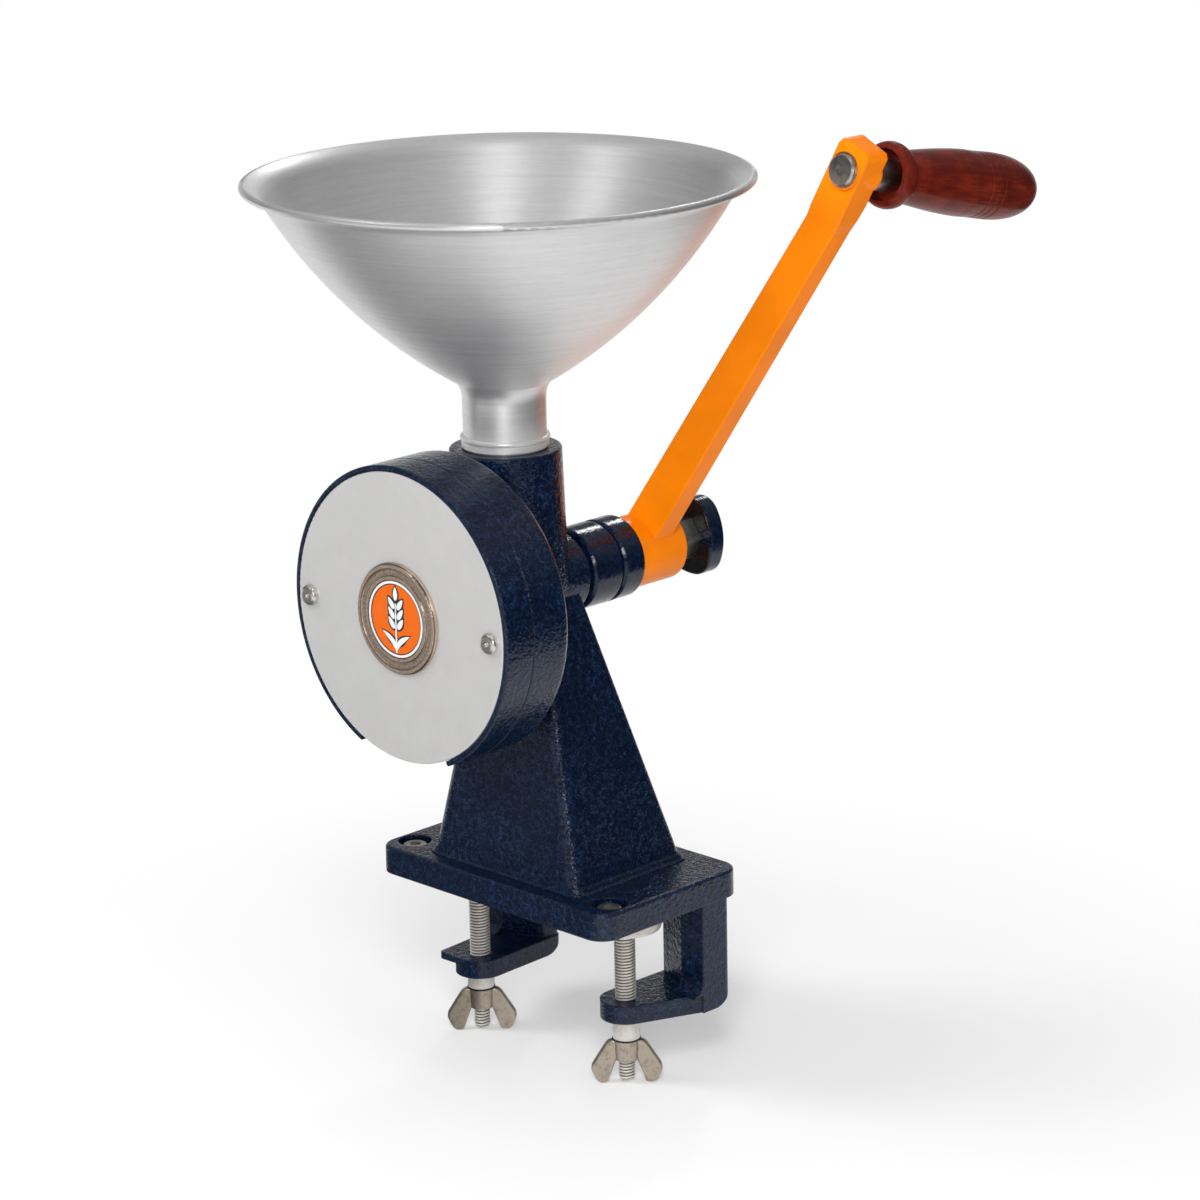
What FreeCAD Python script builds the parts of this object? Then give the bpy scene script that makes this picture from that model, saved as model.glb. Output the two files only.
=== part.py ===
"""Hand grain mill that clamps to a table edge, built piece by piece.

Frame: +X runs across the cover disc, -Y is the cover side, +Y is the crank side, +Z is up.
The origin lies at the middle of the base plate's underside, where the mill sits on the table.
All sizes are millimetres.
"""
import FreeCAD, Part
import math
import os

Vec = FreeCAD.Vector
UP = Vec(0, 0, 1)
ALONG = Vec(0, 1, 0)

# Fits and clearances
running_fit = 0.06        # radial play of a shaft or screw in its bore
close_fit = 0.03          # radial play of a piece that is pressed or screwed in
seat_gap = 0.3            # gap left between a lifted piece and its seat
face_play = 0.1           # gap between two faces that turn on each other
face_gap = 0.05           # gap between two faces that are screwed together
overrun = 1.0             # how far a cutting tool runs past the faces that it opens

# Base plate
plate_width = 150.0
plate_depth = 92.0
plate_thickness = 13.0
plate_corner_radius = 10.0
plate_edge_radius = 1.6
bolt_spacing = 128.8
bolt_y = -31.1
bolt_radius = 3.0
bolt_head_radius = 5.6
bolt_head_height = 5.0
bolt_head_edge = 0.6
bolt_tip_height = 0.6     # how far the screw's end stays above the plate's underside
bolt_socket_flats = 5.0
bolt_socket_depth = 2.4
counterbore_radius = 8.0
counterbore_depth = 6.5

# Clamp arms under the plate
clamp_x = 48.6
clamp_y = -5.7
right_throat_height = 44.1
left_throat_height = 47.0
jaw_thickness = 8.8
jaw_end_radius = 12.0
arm_inset = 1.0           # step from the plate's side to the arm's outer face
arm_front_y = 20.0
arm_back_y = 38.5
arm_rib_width = 14.0
arm_web_x = 38.0
arm_web_front_y = 28.5
arm_web_slant = 2.0
jaw_side_start = 3.5      # where the jaw's slanting side leaves the arm, behind its front
arm_corner_radius = 3.5
arm_heel_radius = 10.0
arm_throat_radius = 7.0
lip_reach = 8.0           # how far the thin lip stands out beside the left jaw's end
lip_front = 12.5
lip_thickness = 3.0
lip_root_in = 6.5
lip_root_back = 15.0
lip_corner_radius = 3.0

# Clamp screws
screw_radius = 5.0
stub_radius = 3.9
screw_chamfer = 1.2
stub_chamfer = 0.8
pad_rest_gap = 2.4        # how far the opened pads stay below the plate
pad_radius = 17.4
pad_height = 7.1
pad_bore_depth = 4.6
pad_edge = 1.0
pad_foot_height = 2.2
pad_foot_inset = 2.2
pad_foot_edge = 0.6
stop_collar_radius = 6.4
stop_collar_height = 7.2
stop_collar_play = 0.5
lock_ring_radius = 6.7
lock_ring_height = 0.8
wing_hub_radius = 5.9
wing_hub_height = 10.0
wing_hub_taper = 0.5
wing_root_bite = 1.6      # how deep a wing's root reaches into the hub
wing_root_drop = 8.6
wing_shoulder_reach = 8.6
wing_shoulder_radius = 5.0
wing_corner_reach = 17.3
wing_corner_drop = 14.0
wing_corner_radius = 5.0
wing_foot_drop = 21.5
wing_foot_out = 13.5
wing_foot_out_radius = 3.5
wing_foot_in = 9.2
wing_foot_in_radius = 2.0
wing_thickness = 4.0
wing_edge_radius = 1.2
stub_length = 19.5

# Pedestal
pedestal_foot_half_width = 48.4
pedestal_foot_front = -35.7
pedestal_foot_back = 35.8
pedestal_top_half_width = 16.8
pedestal_top_front = -24.1
pedestal_top_back = 1.0
pedestal_foot_radius = 6.0
pedestal_top_radius = 4.0
pedestal_foot_flare = 2.5
base_screw_x = 28.0
base_screw_y = 18.0
base_screw_radius = 4.0
base_screw_head_radius = 6.5
base_screw_head_height = 6.0
base_screw_length = 28.0
base_screw_sink = 7.0
base_screw_room = 2.0     # depth of the threaded hole beyond the screw's end

# Shaft line
shaft_height = 149.0
shaft_radius = 8.0
shaft_rear_radius = 7.0
thread_radius = 6.0
shoulder_y = 31.0
thread_start_y = 76.4
shaft_end_y = 100.8
shaft_chamfer = 1.0

# Burr drum
drum_radius = 69.0
drum_wall = 5.0
drum_back_y = -55.0
drum_back_wall = 6.0
drum_back_edge_radius = 5.0
seam_y = -78.5
seam_chamfer = 0.5
drum_front_y = -94.6
rim_edge_radius = 1.0
outlet_half_angle = 24.5
cover_thickness = 3.0
cover_radius = 66.3
cover_play = 0.2
cover_edge_radius = 0.5
lug_radius = 7.0
cover_screw_x = 58.5
cover_screw_radius = 2.5
cover_screw_length = 24.0
cover_head_radius = 4.8
cover_head_height = 2.8
cover_head_round = 2.0
cover_socket_flats = 3.0
cover_socket_depth = 1.6
rear_lug_depth = 12.5
hub_cone_radius = 38.0
hub_cone_end_y = -37.0

# Badge on the cover
badge_radius = 25.4
badge_inner_radius = 17.6
badge_height = 2.2
badge_edge = 0.8
badge_lip_width = 2.35    # width of the raised rims on both sides of the bezel's valley
badge_valley_depth = 0.7
badge_valley_slope = 0.5
badge_rim_step = 0.1      # how much lower the inner rim stands
badge_disc_floor = 1.3
badge_disc_sink = 0.5
badge_recess = 0.6

# Bearing stub, feed chamber and hopper socket
stub_tube_radius = 19.0
stub_end_y = 7.5
stub_bore_depth = 7.5
feed_bore_radius = 17.0
feed_back_y = -9.0
socket_y = -26.6
socket_top_radius = 25.5
socket_foot_radius = 27.5
socket_rise = 65.8        # from the shaft's axis to the socket's top
socket_bore_depth = 24.5
socket_edge_radius = 1.2
saddle_half_width = 17.0
saddle_drop = 10.8        # from the socket's top down to the saddle's

# Hopper
hopper_rim_radius = 112.5
rim_roll_radius = 1.8
flare_radius = 13.3
hopper_wall = 1.3
brim_inset = 7.3          # from the rim's edge in to where the funnel's cone turns into the flared lip
brim_rise = 115.5         # heights of the hopper are counted from the socket's top
cone_mid_radius = 69.0
cone_mid_rise = 67.9
cone_foot_radius = 21.6
cone_foot_rise = 30.4
neck_radius = 18.9
neck_rise = 22.7
collar_radius = 19.8
collar_height = 5.6
collar_edge = 0.4
collar_bead_radius = 0.6
collar_bead_height = 2.2

# Burrs and auger
burr_radius = 50.0
stationary_burr_thickness = 9.2
burr_gap = 0.8
rotating_burr_thickness = 11.5
burr_eye_radius = 17.6
burr_eye_flare = 6.0
furrow_count = 12
furrow_width = 2.4
furrow_depth = 1.2
furrow_skew = 9.0
furrow_inner_margin = 2.0
furrow_outer_margin = 3.0
burr_dish_step = 2.0
burr_screw_radius = 2.0
burr_screw_head_radius = 3.8
burr_screw_length = 13.0
burr_screw_circle = 34.0
burr_nut_flats = 19.0
burr_nut_height = 6.0
shaft_front_stub = 0.7
auger_core_radius = 10.0
auger_outer_radius = 16.1
auger_pitch = 15.0
auger_flight_thickness = 3.0
auger_root_bite = 1.0     # how deep the flight is rooted in the core
auger_front_y = -68.0
auger_back_y = -12.0
auger_pin_radius = 2.0
auger_pin_y = -18.0

# Bushes, bearing cap and thrust bearing
bush_radius = 11.0
bush_front_y = -8.8
bush_distance = 1.2
cap_front_y = 10.0
cap_back_y = 28.5
collar_ring_radius = 19.4
cap_spigot_radius = 15.5
cap_bush_front_y = 1.0
cap_bush_back_y = 20.0
race_pocket_radius = 16.6
race_pocket_y = 20.5
race_outer_radius = 16.2
race_inner_radius = 11.4
race_thickness = 1.8
ball_radius = 1.8
ball_count = 12
ball_circle = 13.8
cage_thickness = 1.2
cage_margin = 0.3
thrust_boss_inset = 0.6
thrust_collar_front_y = 29.5
thrust_collar_back_y = 43.0
spring_pocket_radius = 11.0
spring_pocket_y = 40.0
spring_wire = 1.5
spring_mean_radius = 8.9
spring_turns = 4
closing_travel = 0.7      # how far the shaft can move back from the photographed setting
collar_edge_radius = 1.2

# Crank arm
hub_radius = 17.0
hub_front_y = 43.2
hub_back_y = 73.8
hub_edge_radius = 1.5
crank_radius = 205.5
crank_angle = 26.8        # from the vertical towards +X
arm_front_root_y = 49.1
arm_lean = 15.0           # degrees that the arm leans back, so that it passes behind the hopper
arm_thickness = 12.2
arm_root_half_width = 10.1
arm_neck_half_width = 8.8
arm_bend_at = 176.0       # where the arm's front face bends back towards the vertical
arm_back_bend_at = 190.0
eye_lean = 4.5
arm_eye_half_width = 9.3
arm_swell_length = 6.0    # length over which the neck swells into the eye
arm_end_beyond = 12.5
arm_end_corner = 3.4
arm_edge_radius = 1.1
key_width = 4.0
key_height = 3.0
key_front_y = 48.0
key_back_y = 68.0
key_end_play = 0.05

# Grip, whose axis droops from the shaft's direction
grip_droop = 12.0
eye_pad_radius = 8.9
eye_pad_front = -0.1
eye_pad_back = 16.4
bolt_shank_radius = 4.0
bolt_end_room = 4.0       # how far the bolt ends before the insert's end
bolt_chamfer = 1.0
handle_head_radius = 7.5
handle_head_edge = 0.9
handle_head_height = 2.1
head_socket_flats = 5.0
head_socket_depth = 1.5
washer_radius = 7.9
washer_thickness = 0.6
ferrule_radius = 7.6
grip_start = 26.2
grip_hollow_depth = 6.6
grip_hollow_radius = 12.0
bead_radius = 15.5
bead_length = 9.0
bead_lip = 0.4
grip_neck_at = 38.5
grip_neck_radius = 11.8
grip_belly_at = 100.0
grip_belly_radius = 15.7
grip_end = 133.0
grip_end_bluntness = 2.3
groove_positions = (88.6, 93.0, 97.4)
groove_depth = 0.5
groove_width = 0.9
groove_land_drop = 0.25   # how far the wood beside the first groove lies under the belly
groove_land_rise = 0.1
insert_radius = 6.0
insert_length = 27.0
insert_room = 4.0
seat_tool_reach = 10.0

# Adjusting knob and its nut
thrust_washer_radius = 11.0
thrust_washer_thickness = 1.7
knob_nut_flats = 19.0
knob_nut_chamfer = 1.5
knob_nut_sink = 3.4       # how deep the nut is let into the knob
knob_nut_entry = 1.2
knob_front_y = 88.6
knob_back_y = 98.4
knob_lobes = 3
knob_lobe_reach = 19.8
knob_lobe_radius = 10.5
knob_side_radius = 28.1
knob_first_lobe = -55.0
knob_edge_radius = 1.2
knob_valley_half_angle = 14.0
knob_valley_depth = 1.4

# Values worked out from the sizes above
plate_top = plate_thickness
axis = Vec(0, 0, shaft_height)
throat_heights = {1: right_throat_height, -1: left_throat_height}
arm_outer_x = plate_width / 2 - arm_inset
arm_rib_x = arm_outer_x - arm_rib_width
cover_back_y = drum_front_y + cover_thickness
chamber_back_y = drum_back_y - drum_back_wall
chamber_radius = drum_radius - drum_wall
burr_seat_y = chamber_back_y
stationary_face_y = burr_seat_y - stationary_burr_thickness
rotating_face_y = stationary_face_y - burr_gap
rotating_front_y = rotating_face_y - rotating_burr_thickness
burr_nut_front_y = rotating_front_y - burr_nut_height
shaft_front_y = burr_nut_front_y - shaft_front_stub
socket_top_z = shaft_height + socket_rise
socket_floor_z = socket_top_z - socket_bore_depth
saddle_top_z = socket_top_z - saddle_drop
neck_blend_z = socket_top_z + neck_rise
collar_bottom_z = socket_top_z + seat_gap
brim_radius = hopper_rim_radius - brim_inset
neck_bottom_z = socket_floor_z + seat_gap
knob_nut_front_y = hub_back_y + thrust_washer_thickness + 2 * face_play
knob_nut_back_y = knob_front_y + knob_nut_sink
front_race_y = race_pocket_y + face_play
ball_y = front_race_y + race_thickness + ball_radius + face_play
rear_race_y = ball_y + ball_radius + seat_gap
pad_top_z = -pad_rest_gap
pad_bottom_z = pad_top_z - pad_height
lowest_jaw = -max(throat_heights.values()) - jaw_thickness
stop_collar_bottom = lowest_jaw - stop_collar_play - stop_collar_height
wing_hub_top = stop_collar_bottom - lock_ring_height
grip_axis = Vec(0, math.cos(math.radians(grip_droop)), -math.sin(math.radians(grip_droop)))
arm_axis = Vec(math.sin(math.radians(crank_angle)), 0, math.cos(math.radians(crank_angle)))


def bent_line(start, bend_at, reach):
    """Y of an arm face at some distance from the shaft: it leans back, then bends upright."""
    leaning = min(reach, bend_at) * math.tan(math.radians(arm_lean))
    upright = max(0.0, reach - bend_at) * math.tan(math.radians(eye_lean))
    return start + leaning + upright


def arm_front(reach):
    return bent_line(arm_front_root_y, arm_bend_at, reach)


def arm_back(reach):
    return bent_line(arm_front_root_y + arm_thickness / math.cos(math.radians(arm_lean)),
                     arm_back_bend_at, reach)


grip_origin = axis + arm_axis * crank_radius + Vec(0, arm_front(crank_radius), 0)


def rod(radius, y0, y1, x=0.0, z=None):
    """Solid cylinder along Y, by default on the shaft's axis."""
    height = shaft_height if z is None else z
    return Part.makeCylinder(radius, y1 - y0, Vec(x, y0, height), ALONG)


def post(radius, z0, z1, x=0.0, y=0.0):
    """Solid cylinder along Z."""
    return Part.makeCylinder(radius, z1 - z0, Vec(x, y, z0), UP)


def box(x0, x1, y0, y1, z0, z1):
    return Part.makeBox(x1 - x0, y1 - y0, z1 - z0, Vec(x0, y0, z0))


def turned(profile, origin, direction):
    """Revolve a closed profile of (distance along the axis, radius) points about an axis."""
    points = [Vec(radius, 0, along) for along, radius in profile]
    face = Part.Face(Part.makePolygon(points + points[:1]))
    return placed(face.revolve(Vec(0, 0, 0), UP, 360), origin, direction)


def placed(shape, origin, direction):
    """Move a shape built along +Z so that it starts at origin and points along direction."""
    result = shape.copy()
    turn = FreeCAD.Rotation(UP, direction)
    result.Placement = FreeCAD.Placement(origin, turn).multiply(result.Placement)
    return result


def on_shaft(profile):
    """Turned piece on the shaft's axis; its profile is given in Y and radius."""
    return turned(profile, axis, ALONG)


def prism(points, z0, z1):
    """Upright prism over a closed outline of (x, y) points."""
    corners = [Vec(x, y, z0) for x, y in points]
    return Part.Face(Part.makePolygon(corners + corners[:1])).extrude(Vec(0, 0, z1 - z0))


def soft_prism(points, z0, z1):
    """Upright prism over an outline of (x, y, corner radius) points."""
    starts, edges = [], []
    count = len(points)
    for index, (x, y, radius) in enumerate(points):
        here = Vec(x, y, z0)
        before = Vec(points[index - 1][0], points[index - 1][1], z0)
        after = Vec(points[(index + 1) % count][0], points[(index + 1) % count][1], z0)
        if radius <= 0:
            starts.append((here, here))
            continue
        back, ahead = (before - here).normalize(), (after - here).normalize()
        half = back.getAngle(ahead) / 2
        run = radius / math.tan(half)
        centre = here + (back + ahead).normalize() * (radius / math.sin(half))
        middle = centre + (here - centre).normalize() * radius
        starts.append((here + back * run, here + ahead * run))
        edges.append(Part.Arc(here + back * run, middle, here + ahead * run).toShape())
    for index in range(count):
        edges.append(Part.LineSegment(starts[index - 1][1], starts[index][0]).toShape())
    outline = Part.Wire(Part.sortEdges(edges)[0])
    return Part.Face(outline).extrude(Vec(0, 0, z1 - z0))


def hex_corners(flats):
    """Corners of a regular hexagon about the origin."""
    radius = flats / math.sqrt(3)
    turns = [math.radians(angle) for angle in range(0, 360, 60)]
    return [(radius * math.cos(turn), radius * math.sin(turn)) for turn in turns]


def hexagon(flats, y0, y1):
    """Hexagonal bar along the shaft's axis."""
    points = [Vec(x, y0, shaft_height + z) for x, z in hex_corners(flats)]
    return Part.Face(Part.makePolygon(points + points[:1])).extrude(Vec(0, y1 - y0, 0))


def rounded(shape, radius, wanted):
    """Fillet the edges for which wanted(edge) is true."""
    edges = [edge for edge in shape.Edges if wanted(edge)]
    return shape.makeFillet(radius, edges) if edges else shape


def ends(edge):
    return edge.Vertexes[0].Point, edge.Vertexes[-1].Point


def upright_edge(edge):
    a, b = ends(edge)
    return abs(a.x - b.x) < 0.01 and abs(a.y - b.y) < 0.01 and abs(a.z - b.z) > 0.5


def level_edge_at(z):
    def test(edge):
        box_of = edge.BoundBox
        return abs(box_of.ZMin - z) < 0.01 and abs(box_of.ZMax - z) < 0.01
    return test


def ring_edge_at(y, radius):
    """Round edge about the shaft's axis, at a given Y and radius."""
    def test(edge):
        box_of = edge.BoundBox
        flat = abs(box_of.YMin - y) < 0.01 and abs(box_of.YMax - y) < 0.01
        curve = edge.Curve
        return flat and isinstance(curve, Part.Circle) and abs(curve.Radius - radius) < 0.05
    return test


def rounded_rectangle(half_width, front, back, radius, z):
    """Closed wire of a rectangle with round corners, at one height."""
    arcs = []
    corners = ((half_width, back, 0), (-half_width, back, 90), (-half_width, front, 180),
               (half_width, front, 270))
    for x, y, start in corners:
        centre = Vec(x - math.copysign(radius, x), y - (radius if y == back else -radius), z)
        points = []
        for turn in (start, start + 45, start + 90):
            angle = math.radians(turn)
            points.append(centre + Vec(radius * math.cos(angle), radius * math.sin(angle), 0))
        arcs.append(Part.Arc(*points).toShape())
    edges = []
    for index, arc in enumerate(arcs):
        following = arcs[(index + 1) % len(arcs)]
        edges.append(arc)
        run = Part.LineSegment(arc.lastVertex(True).Point, following.firstVertex(True).Point)
        edges.append(run.toShape())
    return Part.Wire(edges)


def mirrored(shape):
    return shape.mirror(Vec(0, 0, 0), Vec(1, 0, 0))


def moved(shape, x=0.0, y=0.0, z=0.0):
    result = shape.copy()
    result.translate(Vec(x, y, z))
    return result


def outlet_wedge(y0, y1):
    """Sector at the bottom of the drum that opens its wall for the flour."""
    reach = drum_radius * 1.3
    half = math.radians(outlet_half_angle)
    points = [Vec(0, y0, shaft_height),
              Vec(-reach * math.sin(half), y0, shaft_height - reach * math.cos(half)),
              Vec(reach * math.sin(half), y0, shaft_height - reach * math.cos(half))]
    wedge = Part.Face(Part.makePolygon(points + points[:1])).extrude(Vec(0, y1 - y0, 0))
    return wedge.cut(rod(chamber_radius - drum_wall, y0 - 1, y1 + 1))


def cover_lug(side, y0, y1):
    """Screw lug that stands inside the drum's wall."""
    x = side * cover_screw_x
    bridge = box(min(x, side * drum_radius), max(x, side * drum_radius), y0, y1,
                 shaft_height - lug_radius, shaft_height + lug_radius)
    return rod(lug_radius, y0, y1, x).fuse(bridge).common(rod(drum_radius - drum_wall / 2, y0, y1))


def grown_foot(extra, z):
    """Outline of the pedestal's foot, grown by a margin, at one height."""
    return rounded_rectangle(pedestal_foot_half_width + extra, pedestal_foot_front - extra,
                             pedestal_foot_back + extra, pedestal_foot_radius + extra, z)


def base_screw_places():
    return [(side * base_screw_x, end * base_screw_y) for side in (-1, 1) for end in (-1, 1)]


def body_casting():
    """Rear half of the burr drum with the feed tube, the hopper socket and the pedestal."""
    shell = rod(drum_radius, seam_y, drum_back_y)
    shell = rounded(shell, drum_back_edge_radius, ring_edge_at(drum_back_y, drum_radius))
    shell = shell.makeChamfer(seam_chamfer, [e for e in shell.Edges if ring_edge_at(seam_y, drum_radius)(e)])
    shell = shell.cut(rod(chamber_radius, seam_y - overrun, chamber_back_y))
    shell = shell.cut(outlet_wedge(seam_y - overrun, chamber_back_y))
    for side in (-1, 1):
        shell = shell.fuse(cover_lug(side, seam_y, seam_y + rear_lug_depth))
    tube = rounded(rod(stub_tube_radius, drum_back_y - overrun, stub_end_y), hub_edge_radius,
                   ring_edge_at(stub_end_y, stub_tube_radius))
    cone = Part.makeCone(hub_cone_radius, stub_tube_radius, hub_cone_end_y - drum_back_y + overrun,
                         Vec(0, drum_back_y - overrun, shaft_height), ALONG)
    socket = Part.makeCone(socket_foot_radius, socket_top_radius, socket_top_z - shaft_height,
                           Vec(0, socket_y, shaft_height), UP)
    socket = rounded(socket, socket_edge_radius, level_edge_at(socket_top_z))
    saddle = box(-saddle_half_width, saddle_half_width, drum_back_y - overrun, socket_y, shaft_height,
                 saddle_top_z)
    foot = grown_foot(0, plate_top)
    top = rounded_rectangle(pedestal_top_half_width, pedestal_top_front, pedestal_top_back,
                            pedestal_top_radius, shaft_height)
    pedestal = Part.makeLoft([foot, top], True, True)
    skirt = Part.makeLoft([grown_foot(pedestal_foot_flare, plate_top),
                           grown_foot(pedestal_foot_flare * 0.3, plate_top + pedestal_foot_flare * 0.35),
                           grown_foot(0, plate_top + pedestal_foot_flare * 1.2)], True, True)
    body = shell.fuse([tube, cone, socket, saddle, pedestal, skirt])
    body = body.cut(rod(feed_bore_radius, chamber_back_y - overrun, feed_back_y))
    body = body.cut(post(feed_bore_radius, shaft_height, socket_floor_z + overrun, 0, socket_y))
    body = body.cut(post(neck_radius + seat_gap, socket_floor_z, socket_top_z + overrun, 0, socket_y))
    body = body.cut(rod(bush_radius + close_fit, feed_back_y - overrun, stub_end_y))
    body = body.cut(rod(cap_spigot_radius + close_fit, stub_end_y - stub_bore_depth, stub_end_y + overrun))
    for side in (-1, 1):
        body = body.cut(rod(cover_screw_radius + close_fit, seam_y - overrun,
                            seam_y + rear_lug_depth + overrun, side * cover_screw_x))
    for x, z in burr_screw_places():
        body = body.cut(rod(burr_screw_radius + close_fit, burr_seat_y - overrun,
                            drum_back_y + overrun, x, z))
    for x, y in base_screw_places():
        body = body.cut(post(base_screw_radius + close_fit, plate_top - overrun,
                             base_screw_sink + base_screw_length + base_screw_room, x, y))
    return body.removeSplitter()


def burr_housing_ring():
    """Front half of the drum's wall, with the ledge that carries the cover."""
    ring = rod(drum_radius, drum_front_y, seam_y)
    ring = rounded(ring, rim_edge_radius, ring_edge_at(drum_front_y, drum_radius))
    ring = ring.makeChamfer(seam_chamfer, [e for e in ring.Edges if ring_edge_at(seam_y, drum_radius)(e)])
    ring = ring.cut(rod(chamber_radius, cover_back_y - overrun, seam_y + overrun))
    ring = ring.cut(outlet_wedge(drum_front_y - overrun, seam_y + overrun))
    for side in (-1, 1):
        ring = ring.fuse(cover_lug(side, cover_back_y, seam_y))
    ring = ring.cut(rod(cover_radius + cover_play, drum_front_y - overrun, cover_back_y))
    for side in (-1, 1):
        ring = ring.cut(rod(cover_screw_radius + close_fit, cover_back_y - overrun, seam_y + overrun,
                            side * cover_screw_x))
    return ring.removeSplitter()


def cover_plate():
    plate = rod(cover_radius, drum_front_y, cover_back_y)
    plate = rounded(plate, cover_edge_radius, ring_edge_at(drum_front_y, cover_radius))
    for side in (-1, 1):
        plate = plate.cut(rod(cover_screw_radius + close_fit, drum_front_y - overrun, cover_back_y + overrun,
                              side * cover_screw_x))
    return plate.cut(rod(badge_radius + close_fit, drum_front_y - overrun, drum_front_y + badge_recess))


def cover_screws():
    """Two button-head screws that hold the cover and the housing ring."""
    screws = []
    front = drum_front_y - cover_head_height
    for side in (-1, 1):
        x = side * cover_screw_x
        head = rod(cover_head_radius, front, drum_front_y, x)
        rim = [e for e in head.Edges if abs(e.BoundBox.YMax - front) < 0.01]
        head = head.makeFillet(cover_head_round, rim)
        shank = rod(cover_screw_radius, drum_front_y, drum_front_y + cover_screw_length, x)
        socket = moved(hexagon(cover_socket_flats, front - overrun, front + cover_socket_depth), x)
        screws.append(head.fuse(shank).cut(socket))
    return Part.makeCompound(screws)


def badge_bezel():
    """Raised round bezel with a valley between two rims, let into the cover."""
    back = drum_front_y + badge_recess
    front = drum_front_y - badge_height
    valley = front + badge_valley_depth
    inner_front = front + badge_rim_step
    floor = front + badge_disc_floor
    outer_lip = badge_radius - badge_lip_width
    inner_lip = badge_inner_radius + badge_lip_width
    return on_shaft([(back, 0.0), (back, badge_radius), (front + badge_edge, badge_radius),
                     (front, badge_radius - badge_edge), (front, outer_lip),
                     (valley, outer_lip - badge_valley_slope), (valley, inner_lip),
                     (inner_front, inner_lip - badge_valley_slope), (inner_front, badge_inner_radius),
                     (floor, badge_inner_radius), (floor, 0.0)])


def badge_disc():
    """Enamelled disc that fills the bezel."""
    front = drum_front_y - badge_height
    return rod(badge_inner_radius - close_fit, front + badge_disc_sink, front + badge_disc_floor)


def burr_screw_places():
    places = []
    for turn in (90, 210, 330):
        angle = math.radians(turn)
        x, z = burr_screw_circle * math.cos(angle), burr_screw_circle * math.sin(angle)
        places.append((x, shaft_height + z))
    return places


def furrows(face_y, depth, flat_from):
    """Straight grooves in a burr's face, set off the centre so that they shear the grain."""
    cuts = []
    for index in range(furrow_count):
        groove = box(furrow_skew - furrow_width / 2, furrow_skew + furrow_width / 2,
                     min(face_y, face_y + depth), max(face_y, face_y + depth),
                     shaft_height + flat_from + furrow_inner_margin,
                     shaft_height + burr_radius - furrow_outer_margin)
        groove.rotate(axis, ALONG, index * 360 / furrow_count)
        cuts.append(groove)
    return cuts


def stationary_burr():
    face = stationary_face_y
    burr = on_shaft([(burr_seat_y, burr_eye_radius), (burr_seat_y, burr_radius), (face, burr_radius),
                     (face, burr_eye_radius + burr_eye_flare), (face + burr_eye_flare, burr_eye_radius)])
    for x, z in burr_screw_places():
        burr = burr.cut(rod(burr_screw_radius + close_fit, face - overrun, burr_seat_y + overrun, x, z))
        sink = Part.makeCone(burr_screw_head_radius + close_fit, burr_screw_radius + close_fit,
                             burr_screw_head_radius - burr_screw_radius,
                             Vec(x, face + furrow_depth, z), ALONG)
        burr = burr.cut(sink)
        burr = burr.cut(rod(burr_screw_head_radius + close_fit, face - overrun, face + furrow_depth, x, z))
    return burr.cut(furrows(face, furrow_depth, burr_eye_radius + burr_eye_flare))


def burr_screws():
    """Three countersunk screws that hold the stationary burr to the drum's back wall."""
    screws = []
    top = stationary_face_y + furrow_depth
    for x, z in burr_screw_places():
        head = Part.makeCone(burr_screw_head_radius, burr_screw_radius,
                             burr_screw_head_radius - burr_screw_radius, Vec(x, top, z), ALONG)
        screws.append(head.fuse(rod(burr_screw_radius, top, top + burr_screw_length, x, z)))
    return Part.makeCompound(screws)


def rotating_burr():
    face = rotating_face_y
    front = rotating_front_y
    dish = burr_eye_flare
    bore = shaft_radius + close_fit
    burr = on_shaft([(front, bore), (front, burr_radius), (face, burr_radius),
                     (face, burr_eye_radius + dish), (face - dish, burr_eye_radius - burr_dish_step),
                     (face - dish, bore)])
    burr = burr.cut(furrows(face, -furrow_depth, burr_eye_radius + dish))
    slot = key_width / 2 + close_fit
    keyway = box(-slot, slot, front - overrun, face - dish + overrun, shaft_height,
                 shaft_height + shaft_radius + key_height / 2 + close_fit)
    return burr.cut(keyway)


def burr_key():
    """Parallel key that drives the rotating burr."""
    return box(-key_width / 2, key_width / 2, rotating_front_y, rotating_face_y - burr_eye_flare,
               shaft_height + shaft_radius - key_height / 2, shaft_height + shaft_radius + key_height / 2)


def burr_nut():
    nut = hexagon(burr_nut_flats, burr_nut_front_y, rotating_front_y)
    return nut.cut(rod(shaft_radius + close_fit, burr_nut_front_y - overrun, rotating_front_y + overrun))


def auger():
    """Feed screw on a sleeve, pinned to the shaft."""
    core = rod(auger_core_radius, auger_front_y, auger_back_y)
    length = auger_back_y - auger_front_y - auger_flight_thickness
    mean = (auger_outer_radius + auger_core_radius - auger_root_bite) / 2
    half = (auger_outer_radius - auger_core_radius + auger_root_bite) / 2
    helix = Part.makeHelix(auger_pitch, length, mean)
    corners = [Vec(mean - half, 0, 0), Vec(mean + half, 0, 0),
               Vec(mean + half, 0, auger_flight_thickness), Vec(mean - half, 0, auger_flight_thickness)]
    section = Part.makePolygon(corners + corners[:1])
    flight = Part.Wire(helix).makePipeShell([section], True, True)
    flight = placed(flight, Vec(0, auger_front_y, shaft_height), ALONG)
    screw = core.fuse(flight)
    screw = screw.cut(rod(shaft_radius + close_fit, auger_front_y - overrun, auger_back_y + overrun))
    return screw.cut(post(auger_pin_radius + close_fit, shaft_height - auger_outer_radius - overrun,
                          shaft_height + auger_outer_radius + overrun, 0, auger_pin_y))


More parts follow.
